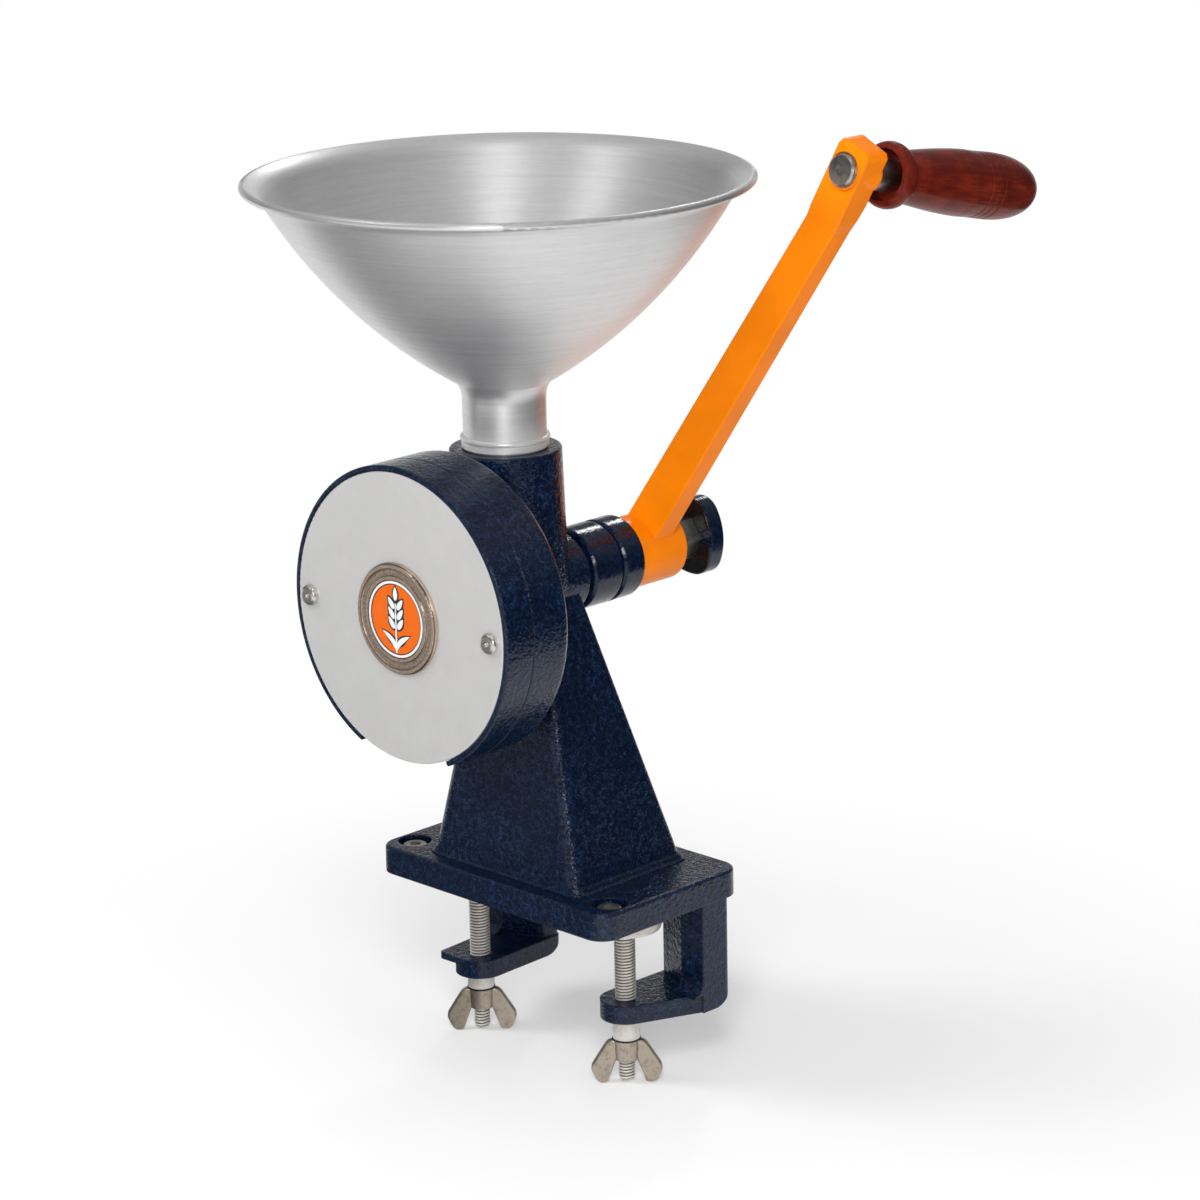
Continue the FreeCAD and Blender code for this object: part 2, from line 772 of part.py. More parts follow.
def auger_pin():
    """Cross pin through the auger's sleeve and the shaft."""
    return post(auger_pin_radius, shaft_height - auger_core_radius, shaft_height + auger_core_radius,
                0, auger_pin_y)


def main_shaft():
    """Shaft with a front seat for the burr, a rear seat for the crank and a threaded end."""
    shaft = on_shaft([(shaft_front_y, 0.0), (shaft_front_y, shaft_radius - shaft_chamfer),
                      (shaft_front_y + shaft_chamfer, shaft_radius), (shoulder_y, shaft_radius),
                      (shoulder_y, shaft_rear_radius), (thread_start_y, shaft_rear_radius),
                      (thread_start_y, thread_radius), (shaft_end_y - shaft_chamfer, thread_radius),
                      (shaft_end_y, thread_radius - shaft_chamfer), (shaft_end_y, 0.0)])
    shaft = shaft.cut(post(auger_pin_radius + close_fit, shaft_height - shaft_radius - overrun,
                           shaft_height + shaft_radius + overrun, 0, auger_pin_y))
    slot = key_width / 2 + close_fit
    burr_slot = box(-slot, slot, rotating_front_y, rotating_face_y - burr_eye_flare,
                    shaft_height + shaft_radius - key_height / 2 - close_fit,
                    shaft_height + shaft_radius + key_height)
    crank_slot = box(-slot, slot, key_front_y, key_back_y,
                     shaft_height + shaft_rear_radius - key_height / 2 - close_fit,
                     shaft_height + shaft_rear_radius + key_height)
    return shaft.cut([burr_slot, crank_slot])


def crank_key():
    """Key on the shaft that slides in the crank hub's keyway."""
    return box(-key_width / 2, key_width / 2, key_front_y + key_end_play, key_back_y - key_end_play,
               shaft_height + shaft_rear_radius - key_height / 2,
               shaft_height + shaft_rear_radius + key_height / 2)


def bush(y0, y1):
    sleeve = rod(bush_radius, y0, y1)
    return sleeve.cut(rod(shaft_radius + running_fit, y0 - 1, y1 + 1))


def bearing_cap():
    """Turned cap screwed into the end of the feed tube; it holds a bush and the thrust bearing."""
    spigot_y = stub_end_y - stub_bore_depth + face_play
    cap = on_shaft([(spigot_y, bush_radius + close_fit), (spigot_y, cap_spigot_radius),
                    (cap_front_y, cap_spigot_radius), (cap_front_y, collar_ring_radius - collar_edge_radius),
                    (cap_front_y + collar_edge_radius, collar_ring_radius),
                    (cap_back_y - collar_edge_radius, collar_ring_radius),
                    (cap_back_y, collar_ring_radius - collar_edge_radius),
                    (cap_back_y, race_pocket_radius), (race_pocket_y, race_pocket_radius),
                    (race_pocket_y, bush_radius + close_fit)])
    return cap


def thrust_race(y0):
    return on_shaft([(y0, race_inner_radius), (y0, race_outer_radius),
                     (y0 + race_thickness, race_outer_radius), (y0 + race_thickness, race_inner_radius)])


def thrust_balls():
    """Cage ring with the balls of the thrust bearing."""
    inner = race_inner_radius + cage_margin
    outer = race_outer_radius - cage_margin
    cage = on_shaft([(ball_y - cage_thickness / 2, inner), (ball_y - cage_thickness / 2, outer),
                     (ball_y + cage_thickness / 2, outer), (ball_y + cage_thickness / 2, inner)])
    balls = []
    for index in range(ball_count):
        angle = math.radians(index * 360 / ball_count)
        centre = Vec(ball_circle * math.cos(angle), ball_y, shaft_height + ball_circle * math.sin(angle))
        balls.append(Part.makeSphere(ball_radius, centre))
        cage = cage.cut(Part.makeSphere(ball_radius + face_play, centre))
    return Part.makeCompound([cage] + balls)


def thrust_collar():
    """Turned collar that turns with the crank and presses the thrust bearing."""
    boss_y = rear_race_y + race_thickness + face_gap
    boss_radius = race_outer_radius - thrust_boss_inset
    bore = shaft_rear_radius + running_fit
    back = hub_front_y - face_play
    return on_shaft([(boss_y, spring_pocket_radius), (boss_y, boss_radius),
                     (thrust_collar_front_y, boss_radius),
                     (thrust_collar_front_y, collar_ring_radius - collar_edge_radius),
                     (thrust_collar_front_y + collar_edge_radius, collar_ring_radius),
                     (back - collar_edge_radius, collar_ring_radius),
                     (back, collar_ring_radius - collar_edge_radius), (back, bore),
                     (spring_pocket_y, bore), (spring_pocket_y, spring_pocket_radius)])


def arc_pair(start, start_way, end, end_way):
    """Two tangent arcs that leave start along start_way and reach end along end_way."""
    chord = end - start
    ways = start_way + end_way
    slope = chord.dot(ways)
    spread = 4 - ways.dot(ways)
    leg = (math.sqrt(slope ** 2 + spread * chord.dot(chord)) - slope) / spread
    first_corner = start + start_way * leg
    last_corner = end - end_way * leg
    joint = (first_corner + last_corner) * 0.5
    arcs = []
    for near, corner, far in ((start, first_corner, joint), (joint, last_corner, end)):
        inwards = (near + far) * 0.5 - corner
        centre = corner + inwards * (leg / inwards.Length) ** 2
        middle = centre + (corner - centre).normalize() * (near - centre).Length
        arcs.append(Part.Arc(near, middle, far).toShape())
    return arcs


def coil(mean_radius, height, turns, wire_radius):
    """Round wire wound about +Z from z = 0, along tangent arcs: a pair to each quarter turn."""
    spans = math.ceil(turns * 4)
    stops = []
    for index in range(spans + 1):
        angle = 2 * math.pi * turns * index / spans
        x, y = math.cos(angle), math.sin(angle)
        way = Vec(-mean_radius * y, mean_radius * x, height / (2 * math.pi * turns))
        stops.append((Vec(mean_radius * x, mean_radius * y, height * index / spans), way.normalize()))
    arcs = []
    for (start, start_way), (end, end_way) in zip(stops, stops[1:]):
        arcs += arc_pair(start, start_way, end, end_way)
    section = Part.Circle(*stops[0], wire_radius)
    return Part.Wire(arcs).makePipeShell([Part.Wire(section.toShape())], True, False)


def release_spring():
    """Coil spring that pushes the shaft forward and the burrs apart."""
    y0 = shoulder_y + closing_travel + face_play + spring_wire / 2
    y1 = spring_pocket_y - face_play - spring_wire / 2
    wound = coil(spring_mean_radius, y1 - y0, spring_turns, spring_wire / 2)
    return placed(wound, Vec(0, y0, shaft_height), ALONG)


def crank_arm():
    """Cast crank: hub on the shaft, tapered arm and a thicker eye for the grip's bolt."""
    end_at = crank_radius + arm_end_beyond
    corner = arm_end_corner
    widths = [(0, arm_root_half_width, 0), (arm_bend_at, arm_neck_half_width, 0),
              (arm_bend_at + arm_swell_length, arm_eye_half_width, 0),
              (arm_back_bend_at, arm_eye_half_width, 0),
              (end_at - corner, arm_eye_half_width, 0),
              (end_at - corner * 0.3, arm_eye_half_width - corner * 0.3, corner * 0.15),
              (end_at, arm_eye_half_width - corner, corner * 0.5)]
    sections = [(at, half, arm_front(at) + inset, arm_back(at) - 2 * inset) for at, half, inset in widths]
    wires = [rounded_rectangle(half, front, back, arm_edge_radius, at) for at, half, front, back in sections]
    bar = Part.makeLoft(wires, True, True)
    bar.rotate(Vec(0, 0, 0), ALONG, crank_angle)
    bar.translate(axis)
    pad = Part.makeCylinder(eye_pad_radius, eye_pad_back - eye_pad_front,
                            grip_origin + grip_axis * eye_pad_front, grip_axis)
    hub = rod(hub_radius, hub_front_y, hub_back_y)
    hub = rounded(hub, hub_edge_radius, lambda e: ring_edge_at(hub_back_y, hub_radius)(e)
                  or ring_edge_at(hub_front_y, hub_radius)(e))
    crank = hub.fuse([bar, pad])
    crank = crank.cut(rod(shaft_rear_radius + running_fit, hub_front_y - overrun, hub_back_y + overrun))
    slot = key_width / 2 + running_fit
    keyway = box(-slot, slot, hub_front_y - overrun, hub_back_y + overrun, shaft_height,
                 shaft_height + shaft_rear_radius + key_height / 2 + running_fit)
    reach = seat_tool_reach
    bore = Part.makeCylinder(bolt_shank_radius + running_fit, eye_pad_back + 2 * reach,
                             grip_origin - grip_axis * reach, grip_axis)
    front_seat = Part.makeCylinder(washer_radius + seat_gap, reach,
                                   grip_origin + grip_axis * (eye_pad_front - reach), grip_axis)
    back_seat = Part.makeCylinder(washer_radius + seat_gap, reach, grip_origin + grip_axis * eye_pad_back,
                                  grip_axis)
    return crank.cut([keyway, bore, front_seat, back_seat]).removeSplitter()


def along_grip(profile):
    return turned(profile, grip_origin, grip_axis)


def handle_bolt():
    """Socket-head shoulder bolt that carries the grip and turns in the arm's eye."""
    seat = eye_pad_front - washer_thickness - face_play
    top = seat - handle_head_height
    tip = grip_start + grip_hollow_depth + insert_length - bolt_end_room
    bolt = along_grip([(top, 0.0), (top, handle_head_radius - handle_head_edge),
                       (top + handle_head_edge, handle_head_radius), (seat, handle_head_radius),
                       (seat, bolt_shank_radius), (tip - bolt_chamfer, bolt_shank_radius),
                       (tip, bolt_shank_radius - bolt_chamfer), (tip, 0.0)])
    socket = prism(hex_corners(head_socket_flats), top - overrun, top + head_socket_depth)
    return bolt.cut(placed(socket, grip_origin, grip_axis))


def bolt_washer():
    back = eye_pad_front - face_gap
    front = back - washer_thickness
    return along_grip([(front, bolt_shank_radius + close_fit), (front, washer_radius),
                       (back, washer_radius), (back, bolt_shank_radius + close_fit)])


def grip_ferrule():
    """Steel spacer between the arm's eye and the bottom of the grip's hollow."""
    back = grip_start + grip_hollow_depth - face_gap
    front = eye_pad_back + face_play
    return along_grip([(front, bolt_shank_radius + close_fit), (front, ferrule_radius),
                       (back, ferrule_radius), (back, bolt_shank_radius + close_fit)])


def grip_insert():
    """Brass threaded insert pressed into the grip."""
    front = grip_start + grip_hollow_depth
    back = front + insert_length
    return along_grip([(front, bolt_shank_radius + close_fit), (front, insert_radius),
                       (back, insert_radius), (back, bolt_shank_radius + close_fit)])


def grip_outline():
    """Outer edge of the turned grip as points of (distance along the axis, radius)."""
    points = []
    bead_mid = grip_start + bead_length / 2
    bead_foot = grip_hollow_radius + bead_lip
    for step in range(9):
        turn = math.radians(-90 + step * 22.5)
        points.append((bead_mid + bead_length / 2 * math.sin(turn),
                       bead_foot + (bead_radius - bead_foot) * math.cos(turn)))
    points.append((grip_neck_at, grip_neck_radius))
    for step in range(1, 7):
        share = step / 7
        swell = grip_neck_radius + (grip_belly_radius - grip_neck_radius) * math.sin(share * math.pi / 2)
        points.append((grip_neck_at + (groove_positions[0] - groove_width - grip_neck_at) * share, swell))
    belly = grip_belly_radius - groove_land_drop
    for position in groove_positions:
        points += [(position - groove_width / 2, belly), (position, belly - groove_depth),
                   (position + groove_width / 2, belly)]
        belly += groove_land_rise
    for step in range(12):
        share = math.sin(math.radians(step * 90 / 12))
        narrowing = (1 - share ** grip_end_bluntness) ** (1 / grip_end_bluntness)
        points.append((grip_belly_at + (grip_end - grip_belly_at) * share, grip_belly_radius * narrowing))
    points.append((grip_end, 0.0))
    return points


def handle_grip():
    """Turned wooden grip with a bead and a hollow at its inner end."""
    floor = grip_start + grip_hollow_depth
    back = floor + insert_length
    inside = [(grip_end, 0.0), (back + insert_room, 0.0), (back + insert_room, insert_radius + close_fit),
              (floor, insert_radius + close_fit), (floor, grip_hollow_radius),
              (grip_start, grip_hollow_radius)]
    return along_grip(grip_outline()[:-1] + inside)


def thrust_washer():
    y0 = hub_back_y + face_play
    y1 = y0 + thrust_washer_thickness
    bore = shaft_rear_radius + 2 * running_fit
    return on_shaft([(y0, bore), (y0, thrust_washer_radius), (y1, thrust_washer_radius), (y1, bore)])


def knob_nut():
    """Steel hexagon set into the knob; its thread runs on the shaft's end."""
    corner = knob_nut_flats / math.sqrt(3) + face_play
    envelope = on_shaft([(knob_nut_front_y, 0.0), (knob_nut_front_y, knob_nut_flats / 2),
                         (knob_nut_front_y + knob_nut_chamfer, corner), (knob_nut_back_y, corner),
                         (knob_nut_back_y, 0.0)])
    nut = hexagon(knob_nut_flats, knob_nut_front_y, knob_nut_back_y).common(envelope)
    thread = rod(thread_radius + running_fit, knob_nut_front_y - overrun, knob_nut_back_y + overrun)
    entry = rod(shaft_rear_radius + 2 * running_fit, knob_nut_front_y - overrun,
                thread_start_y + knob_nut_entry)
    return nut.cut([thread, entry])


def knob_outline(y):
    """Closed line of the knob in one plane: lobes joined by bowed sides that touch them smoothly."""
    lobe_circle = knob_lobe_reach - knob_lobe_radius
    half_step = math.pi / knob_lobes
    away = lobe_circle * math.cos(half_step)
    across = lobe_circle * math.sin(half_step)
    side_centre = away - math.sqrt((knob_side_radius - knob_lobe_radius) ** 2 - across ** 2)
    touch = math.asin(across / (knob_side_radius - knob_lobe_radius))

    def side_point(side, offset):
        return Vec(side_centre * math.cos(side) + knob_side_radius * math.cos(side + offset), y,
                   shaft_height + side_centre * math.sin(side) + knob_side_radius * math.sin(side + offset))

    edges = []
    for index in range(knob_lobes):
        lobe = math.radians(knob_first_lobe) + 2 * half_step * index
        before, after = lobe - half_step, lobe + half_step
        tip = Vec(knob_lobe_reach * math.cos(lobe), y, shaft_height + knob_lobe_reach * math.sin(lobe))
        edges.append(Part.Arc(side_point(before, touch), tip, side_point(after, -touch)).toShape())
        edges.append(Part.Arc(side_point(after, -touch), side_point(after, 0),
                              side_point(after, touch)).toShape())
    return Part.Wire(Part.sortEdges(edges)[0])


def adjusting_knob():
    """Three-lobed knob that sets the gap between the burrs, with shallow valleys between its lobes."""
    knob = Part.Face(knob_outline(knob_front_y)).extrude(Vec(0, knob_back_y - knob_front_y, 0))

    def face_rim(edge):
        bounds = edge.BoundBox
        flat = abs(bounds.YMax - bounds.YMin) < 0.01
        return flat and (abs(bounds.YMin - knob_front_y) < 0.01 or abs(bounds.YMin - knob_back_y) < 0.01)

    knob = rounded(knob, knob_edge_radius, face_rim)
    reach = knob_lobe_reach + overrun
    spread = reach * math.tan(math.radians(knob_valley_half_angle))
    for index in range(knob_lobes):
        turn = knob_first_lobe + (index + 0.5) * 360 / knob_lobes
        corners = [Vec(0, knob_front_y - overrun, shaft_height),
                   Vec(reach, knob_front_y - overrun, shaft_height + spread),
                   Vec(reach, knob_front_y - overrun, shaft_height - spread)]
        valley = Part.Face(Part.makePolygon(corners + corners[:1])).extrude(
            Vec(0, knob_valley_depth + overrun, 0))
        valley.rotate(axis, ALONG, -turn)
        knob = knob.cut(valley)
    knob = knob.cut(hexagon(knob_nut_flats + close_fit * 2, knob_front_y - overrun, knob_nut_back_y))
    return knob.cut(rod(thread_radius + running_fit, knob_front_y - overrun, knob_back_y + overrun))


def swept_arc(centre, start, end, outwards):
    """Short arc about a centre, and the same arc moved off by the sheet's thickness."""
    middle = centre + ((start - centre) + (end - centre)).normalize() * (start - centre).Length
    moved_points = [point + (point - centre).normalize() * outwards for point in (start, middle, end)]
    return Part.Arc(start, middle, end).toShape(), Part.Arc(*moved_points).toShape()


def hopper():
    """Spun funnel with a straight neck and a flared lip that ends in a rolled rim."""
    foot = Vec(cone_foot_radius, 0, socket_top_z + cone_foot_rise)
    brim = Vec(brim_radius, 0, socket_top_z + brim_rise)
    neck_top = Vec(neck_radius, 0, neck_blend_z)
    neck_foot = Vec(neck_radius, 0, neck_bottom_z)
    cone_middle = Vec(cone_mid_radius, 0, socket_top_z + cone_mid_rise)
    cone_centre = Part.Arc(foot, cone_middle, brim).toShape().Curve.Center
    rise, spread = foot.z - neck_top.z, foot.x - neck_top.x
    blend_centre = neck_top + Vec((rise ** 2 + spread ** 2) / (2 * spread), 0, 0)
    flare_centre = brim + (brim - cone_centre).normalize() * flare_radius
    rim_x = hopper_rim_radius - flare_centre.x
    rim = flare_centre + Vec(rim_x, 0, math.sqrt(flare_radius ** 2 - rim_x ** 2))
    blend, inner_blend = swept_arc(blend_centre, neck_top, foot, hopper_wall)
    cone, inner_cone = swept_arc(cone_centre, foot, brim, -hopper_wall)
    flare, inner_flare = swept_arc(flare_centre, brim, rim, hopper_wall)
    side = Vec(-hopper_wall, 0, 0)
    neck = Part.LineSegment(neck_foot, neck_top).toShape()
    inner_neck = Part.LineSegment(neck_foot + side, neck_top + side).toShape()
    bottom = Part.LineSegment(neck_foot + side, neck_foot).toShape()
    lip = Part.LineSegment(rim, inner_flare.lastVertex(True).Point).toShape()
    step = Part.LineSegment(inner_blend.lastVertex(True).Point, inner_cone.firstVertex(True).Point).toShape()
    pieces = [neck, blend, cone, flare, lip, inner_flare, inner_cone, step, inner_blend, inner_neck, bottom]
    outline = Part.Wire(Part.sortEdges(pieces)[0])
    shell = Part.Face(outline).revolve(Vec(0, 0, 0), UP, 360)
    roll_at = rim + (rim - flare_centre).normalize() * (hopper_wall - rim_roll_radius)
    roll = Part.makeTorus(roll_at.x, rim_roll_radius, Vec(0, 0, roll_at.z), UP)
    return moved(shell.fuse(roll), 0, socket_y)


def hopper_collar():
    """Ring on the hopper's neck that rests on the socket, with a bead at its top."""
    top = collar_bottom_z + collar_height
    inner = neck_radius + close_fit
    bead = collar_radius + collar_bead_radius
    return turned([(collar_bottom_z, inner), (collar_bottom_z, collar_radius - collar_edge),
                   (collar_bottom_z + collar_edge, collar_radius), (top - collar_bead_height, collar_radius),
                   (top - collar_bead_height + collar_edge, bead - collar_bead_radius / 4),
                   (top - collar_bead_height / 2, bead), (top - collar_edge, bead - collar_bead_radius / 4),
                   (top, collar_radius - collar_edge), (top, inner)], Vec(0, socket_y, 0), UP)


def arm_outline():
    """Outline of a clamp arm's upright, seen from above, for the right side."""
    return [(arm_outer_x, arm_front_y, 0), (arm_outer_x, arm_back_y, arm_corner_radius),
            (arm_web_x, arm_back_y, arm_corner_radius),
            (arm_web_x + arm_web_slant, arm_web_front_y, arm_corner_radius / 2),
            (arm_rib_x, arm_front_y, arm_corner_radius / 2)]


def tangent_point(px, py, side):
    """Point where a line from (px, py) touches the jaw's round end, on one side of it."""
    dx, dy = px - clamp_x, py - clamp_y
    distance = math.hypot(dx, dy)
    turn = math.atan2(dy, dx) - side * math.acos(jaw_end_radius / distance)
    return clamp_x + jaw_end_radius * math.cos(turn), clamp_y + jaw_end_radius * math.sin(turn)


def corner_tool(y, z, radius, y_side, z_side, x0, x1):
    """Sliver between a square corner at (y, z) and the round of a given radius inside it."""
    inner_y, inner_z = y - y_side * radius, z - z_side * radius
    block = box(x0, x1, min(y, inner_y), max(y, inner_y), min(z, inner_z), max(z, inner_z))
    return block.cut(Part.makeCylinder(radius, x1 - x0, Vec(x0, inner_y, inner_z), Vec(1, 0, 0)))


def clamp_arm(jaw_top):
    """Clamp arm laid out for the right side: upright, jaw and round jaw end."""
    jaw_bottom = jaw_top - jaw_thickness
    upright = soft_prism(arm_outline(), jaw_bottom, overrun)
    outer = (arm_outer_x, arm_front_y + jaw_side_start)
    inner = (arm_web_x, arm_back_y)
    outer_tangent = tangent_point(*outer, 1)
    inner_tangent = tangent_point(*inner, -1)
    jaw = soft_prism([(*outer, 0), (arm_outer_x, arm_back_y, arm_corner_radius),
                      (*inner, arm_corner_radius), (*inner_tangent, 0), (clamp_x, clamp_y, 0),
                      (*outer_tangent, 0)], jaw_bottom, jaw_top)
    end = post(jaw_end_radius, jaw_bottom, jaw_top, clamp_x, clamp_y)
    throat = corner_tool(arm_front_y, jaw_top, arm_throat_radius, 1, -1, arm_rib_x, arm_outer_x)
    arm = upright.fuse([jaw, end, throat])
    return arm.cut(corner_tool(arm_back_y, jaw_bottom, arm_heel_radius, 1, -1, arm_web_x - overrun,
                               arm_outer_x + overrun))


def jaw_lip(jaw_top):
    """Thin lip beside the left jaw's end, level with the jaw's top."""
    line_x, line_y = tangent_point(arm_outer_x, arm_front_y + jaw_side_start, 1)
    points = [(-clamp_x, clamp_y), (-line_x - lip_root_in, line_y + lip_root_back),
              (-clamp_x - jaw_end_radius - lip_reach / 2, clamp_y - lip_front),
              (-clamp_x, clamp_y - jaw_end_radius)]
    lip = prism(points, jaw_top - lip_thickness, jaw_top)
    nose = clamp_y - (jaw_end_radius + lip_front) / 2
    return rounded(lip, lip_corner_radius, lambda e: upright_edge(e) and ends(e)[0].y < nose)


def base_casting():
    """Base plate with the two clamp arms that reach under the table's edge."""
    outline = rounded_rectangle(plate_width / 2, -plate_depth / 2, plate_depth / 2, plate_corner_radius, 0)
    plate = Part.Face(outline).extrude(Vec(0, 0, plate_thickness))
    plate = rounded(plate, plate_edge_radius, level_edge_at(plate_top))
    left_top = -left_throat_height
    base = plate.fuse([clamp_arm(-right_throat_height), mirrored(clamp_arm(left_top)), jaw_lip(left_top)])
    for side in (-1, 1):
        x = side * bolt_spacing / 2
        base = base.cut(post(bolt_radius + close_fit, -1, plate_top + overrun, x, bolt_y))
        base = base.cut(post(counterbore_radius, plate_top - counterbore_depth, plate_top + overrun,
                             x, bolt_y))
        base = base.cut(post(screw_radius + running_fit, lowest_jaw - overrun, pad_bottom_z, side * clamp_x,
                             clamp_y))
    for x, y in base_screw_places():
        base = base.cut(post(base_screw_radius + close_fit, -1, plate_top + overrun, x, y))
        base = base.cut(post(base_screw_head_radius + seat_gap, -1, base_screw_sink, x, y))
    return base.removeSplitter()


def base_screws():
    """Four cap screws that hold the pedestal to the plate from below."""
    screws = []
    for x, y in base_screw_places():
        head = post(base_screw_head_radius, base_screw_sink - base_screw_head_height, base_screw_sink, x, y)
        shank = post(base_screw_radius, base_screw_sink, base_screw_sink + base_screw_length, x, y)
        screws.append(head.fuse(shank))
    return Part.makeCompound(screws)


def mounting_screws():
    """Two socket-head screws that fill the front corner holes of the plate."""
    screws = []
    seat = plate_top - counterbore_depth
    top = seat + bolt_head_height
    for side in (-1, 1):
        x = side * bolt_spacing / 2
        head = rounded(post(bolt_head_radius, seat, top, x, bolt_y), bolt_head_edge, level_edge_at(top))
        shank = post(bolt_radius, bolt_tip_height, seat, x, bolt_y)
        corners = [(x + dx, bolt_y + dy) for dx, dy in hex_corners(bolt_socket_flats)]
        socket = prism(corners, top - bolt_socket_depth, top + overrun)
        screws.append(head.fuse(shank).cut(socket))
    return Part.makeCompound(screws)


def clamp_screw():
    """Screw from the pad's socket through the jaw to the wing nut, on the right side."""
    top = pad_bottom_z + pad_bore_depth
    tip = wing_hub_top - stub_length
    return turned([(top, 0.0), (top, screw_radius - screw_chamfer), (top - screw_chamfer, screw_radius),
                   (stop_collar_bottom, screw_radius), (stop_collar_bottom, stub_radius),
                   (tip + stub_chamfer, stub_radius), (tip, stub_radius - stub_chamfer), (tip, 0.0)],
                  Vec(clamp_x, clamp_y, 0), UP)


def clamp_pad():
    """Swivel pad that presses up against the table."""
    bore = screw_radius + running_fit
    pocket = pad_bottom_z + pad_bore_depth + face_gap
    return turned([(pad_top_z, 0.0), (pad_top_z, pad_radius - pad_edge), (pad_top_z - pad_edge, pad_radius),
                   (pad_bottom_z + pad_foot_height, pad_radius),
                   (pad_bottom_z + pad_foot_edge, pad_radius - pad_foot_edge),
                   (pad_bottom_z, pad_radius - pad_foot_inset), (pad_bottom_z, bore),
                   (pocket, bore), (pocket, 0.0)], Vec(clamp_x, clamp_y, 0), UP)


def stop_collar(side):
    """Plain collar between the jaw and the wing nut, as long as the jaw's height leaves room for."""
    top = -throat_heights[side] - jaw_thickness - stop_collar_play
    return turned([(stop_collar_bottom, screw_radius + close_fit), (stop_collar_bottom, stop_collar_radius),
                   (top, stop_collar_radius), (top, screw_radius + close_fit)],
                  Vec(side * clamp_x, clamp_y, 0), UP)


def lock_ring():
    """Thin dark ring between the collar and the wing nut."""
    low = wing_hub_top + face_gap
    high = stop_collar_bottom - face_gap
    return turned([(low, stub_radius + close_fit), (low, lock_ring_radius), (high, lock_ring_radius),
                   (high, stub_radius + close_fit)], Vec(clamp_x, clamp_y, 0), UP)


def wing_nut():
    """Wing nut with its two wings hanging down beside the screw's end."""
    top = wing_hub_top
    nut = Part.makeCone(wing_hub_radius - wing_hub_taper, wing_hub_radius, wing_hub_height,
                        Vec(0, 0, top - wing_hub_height), UP)
    root = wing_hub_radius - wing_root_bite
    outline = [(root, 0.0, 0), (wing_shoulder_reach, 0.0, wing_shoulder_radius),
               (wing_corner_reach, -wing_corner_drop, wing_corner_radius),
               (wing_foot_out, -wing_foot_drop, wing_foot_out_radius),
               (wing_foot_in, -wing_foot_drop, wing_foot_in_radius), (root, -wing_root_drop, 0)]
    wing = soft_prism(outline, -wing_thickness / 2, wing_thickness / 2)
    wing = rounded(wing, wing_edge_radius, lambda e: abs(e.BoundBox.ZMax - e.BoundBox.ZMin) < 0.01)
    wing.rotate(Vec(0, 0, 0), Vec(1, 0, 0), 90)
    wing = moved(wing, 0, 0, top)
    nut = nut.fuse([wing, mirrored(wing)])
    nut = nut.cut(post(stub_radius + close_fit, top - wing_hub_height - overrun, top + overrun))
    nut.rotate(Vec(0, 0, 0), UP, 45)
    return moved(nut, clamp_x, clamp_y)


def build():
    """All nodes of the mill by name."""
    nodes = {
        "body_casting": body_casting(),
        "burr_housing_ring": burr_housing_ring(),
        "base_casting": base_casting(),
        "base_screws": base_screws(),
        "mounting_screws": mounting_screws(),
        "cover_plate": cover_plate(),
        "cover_screws": cover_screws(),
        "badge_bezel": badge_bezel(),
        "badge_disc": badge_disc(),
        "stationary_burr": stationary_burr(),
        "burr_screws": burr_screws(),
        "rotating_burr": rotating_burr(),
        "burr_key": burr_key(),
        "burr_nut": burr_nut(),
        "auger": auger(),
        "auger_pin": auger_pin(),
        "main_shaft": main_shaft(),
        "crank_key": crank_key(),
        "rear_bush": bush(bush_front_y, cap_bush_front_y - bush_distance),
        "bearing_cap": bearing_cap(),
        "cap_bush": bush(cap_bush_front_y, cap_bush_back_y),
        "thrust_race_front": thrust_race(front_race_y),
        "thrust_balls": thrust_balls(),
        "thrust_race_rear": thrust_race(rear_race_y),
        "thrust_collar": thrust_collar(),
        "release_spring": release_spring(),
        "crank_arm": crank_arm(),
        "thrust_washer": thrust_washer(),
        "knob_nut": knob_nut(),
        "adjusting_knob": adjusting_knob(),
        "handle_bolt": handle_bolt(),
        "bolt_washer": bolt_washer(),
        "grip_ferrule": grip_ferrule(),
        "grip_insert": grip_insert(),
        "handle_grip": handle_grip(),
        "hopper": hopper(),
        "hopper_collar": hopper_collar(),
    }
    nodes["stop_collar_right"] = stop_collar(1)
    nodes["stop_collar_left"] = stop_collar(-1)
    clamp_pieces = {"clamp_screw": clamp_screw(), "clamp_pad": clamp_pad(), "lock_ring": lock_ring(),
                    "wing_nut": wing_nut()}
    for name, shape in clamp_pieces.items():
        nodes[name + "_right"] = shape
        nodes[name + "_left"] = moved(shape, -2 * clamp_x)
    return nodes


def main():
    os.makedirs("parts", exist_ok=True)
    for name, shape in build().items():
        if not shape.isValid() or not shape.Solids:
            print("problem with", name)
        shape.exportStep(os.path.join("parts", name + ".step"))
        print(name, len(shape.Solids), "solid(s), volume", round(shape.Volume))


main()
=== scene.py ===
"""Finishes, threads, badge and studio of the hand grain mill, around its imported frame."""

import math
from collections import namedtuple

import bmesh
import bpy
from bpy.props import FloatProperty, FloatVectorProperty, IntProperty, PointerProperty
from mathutils import Matrix, Vector


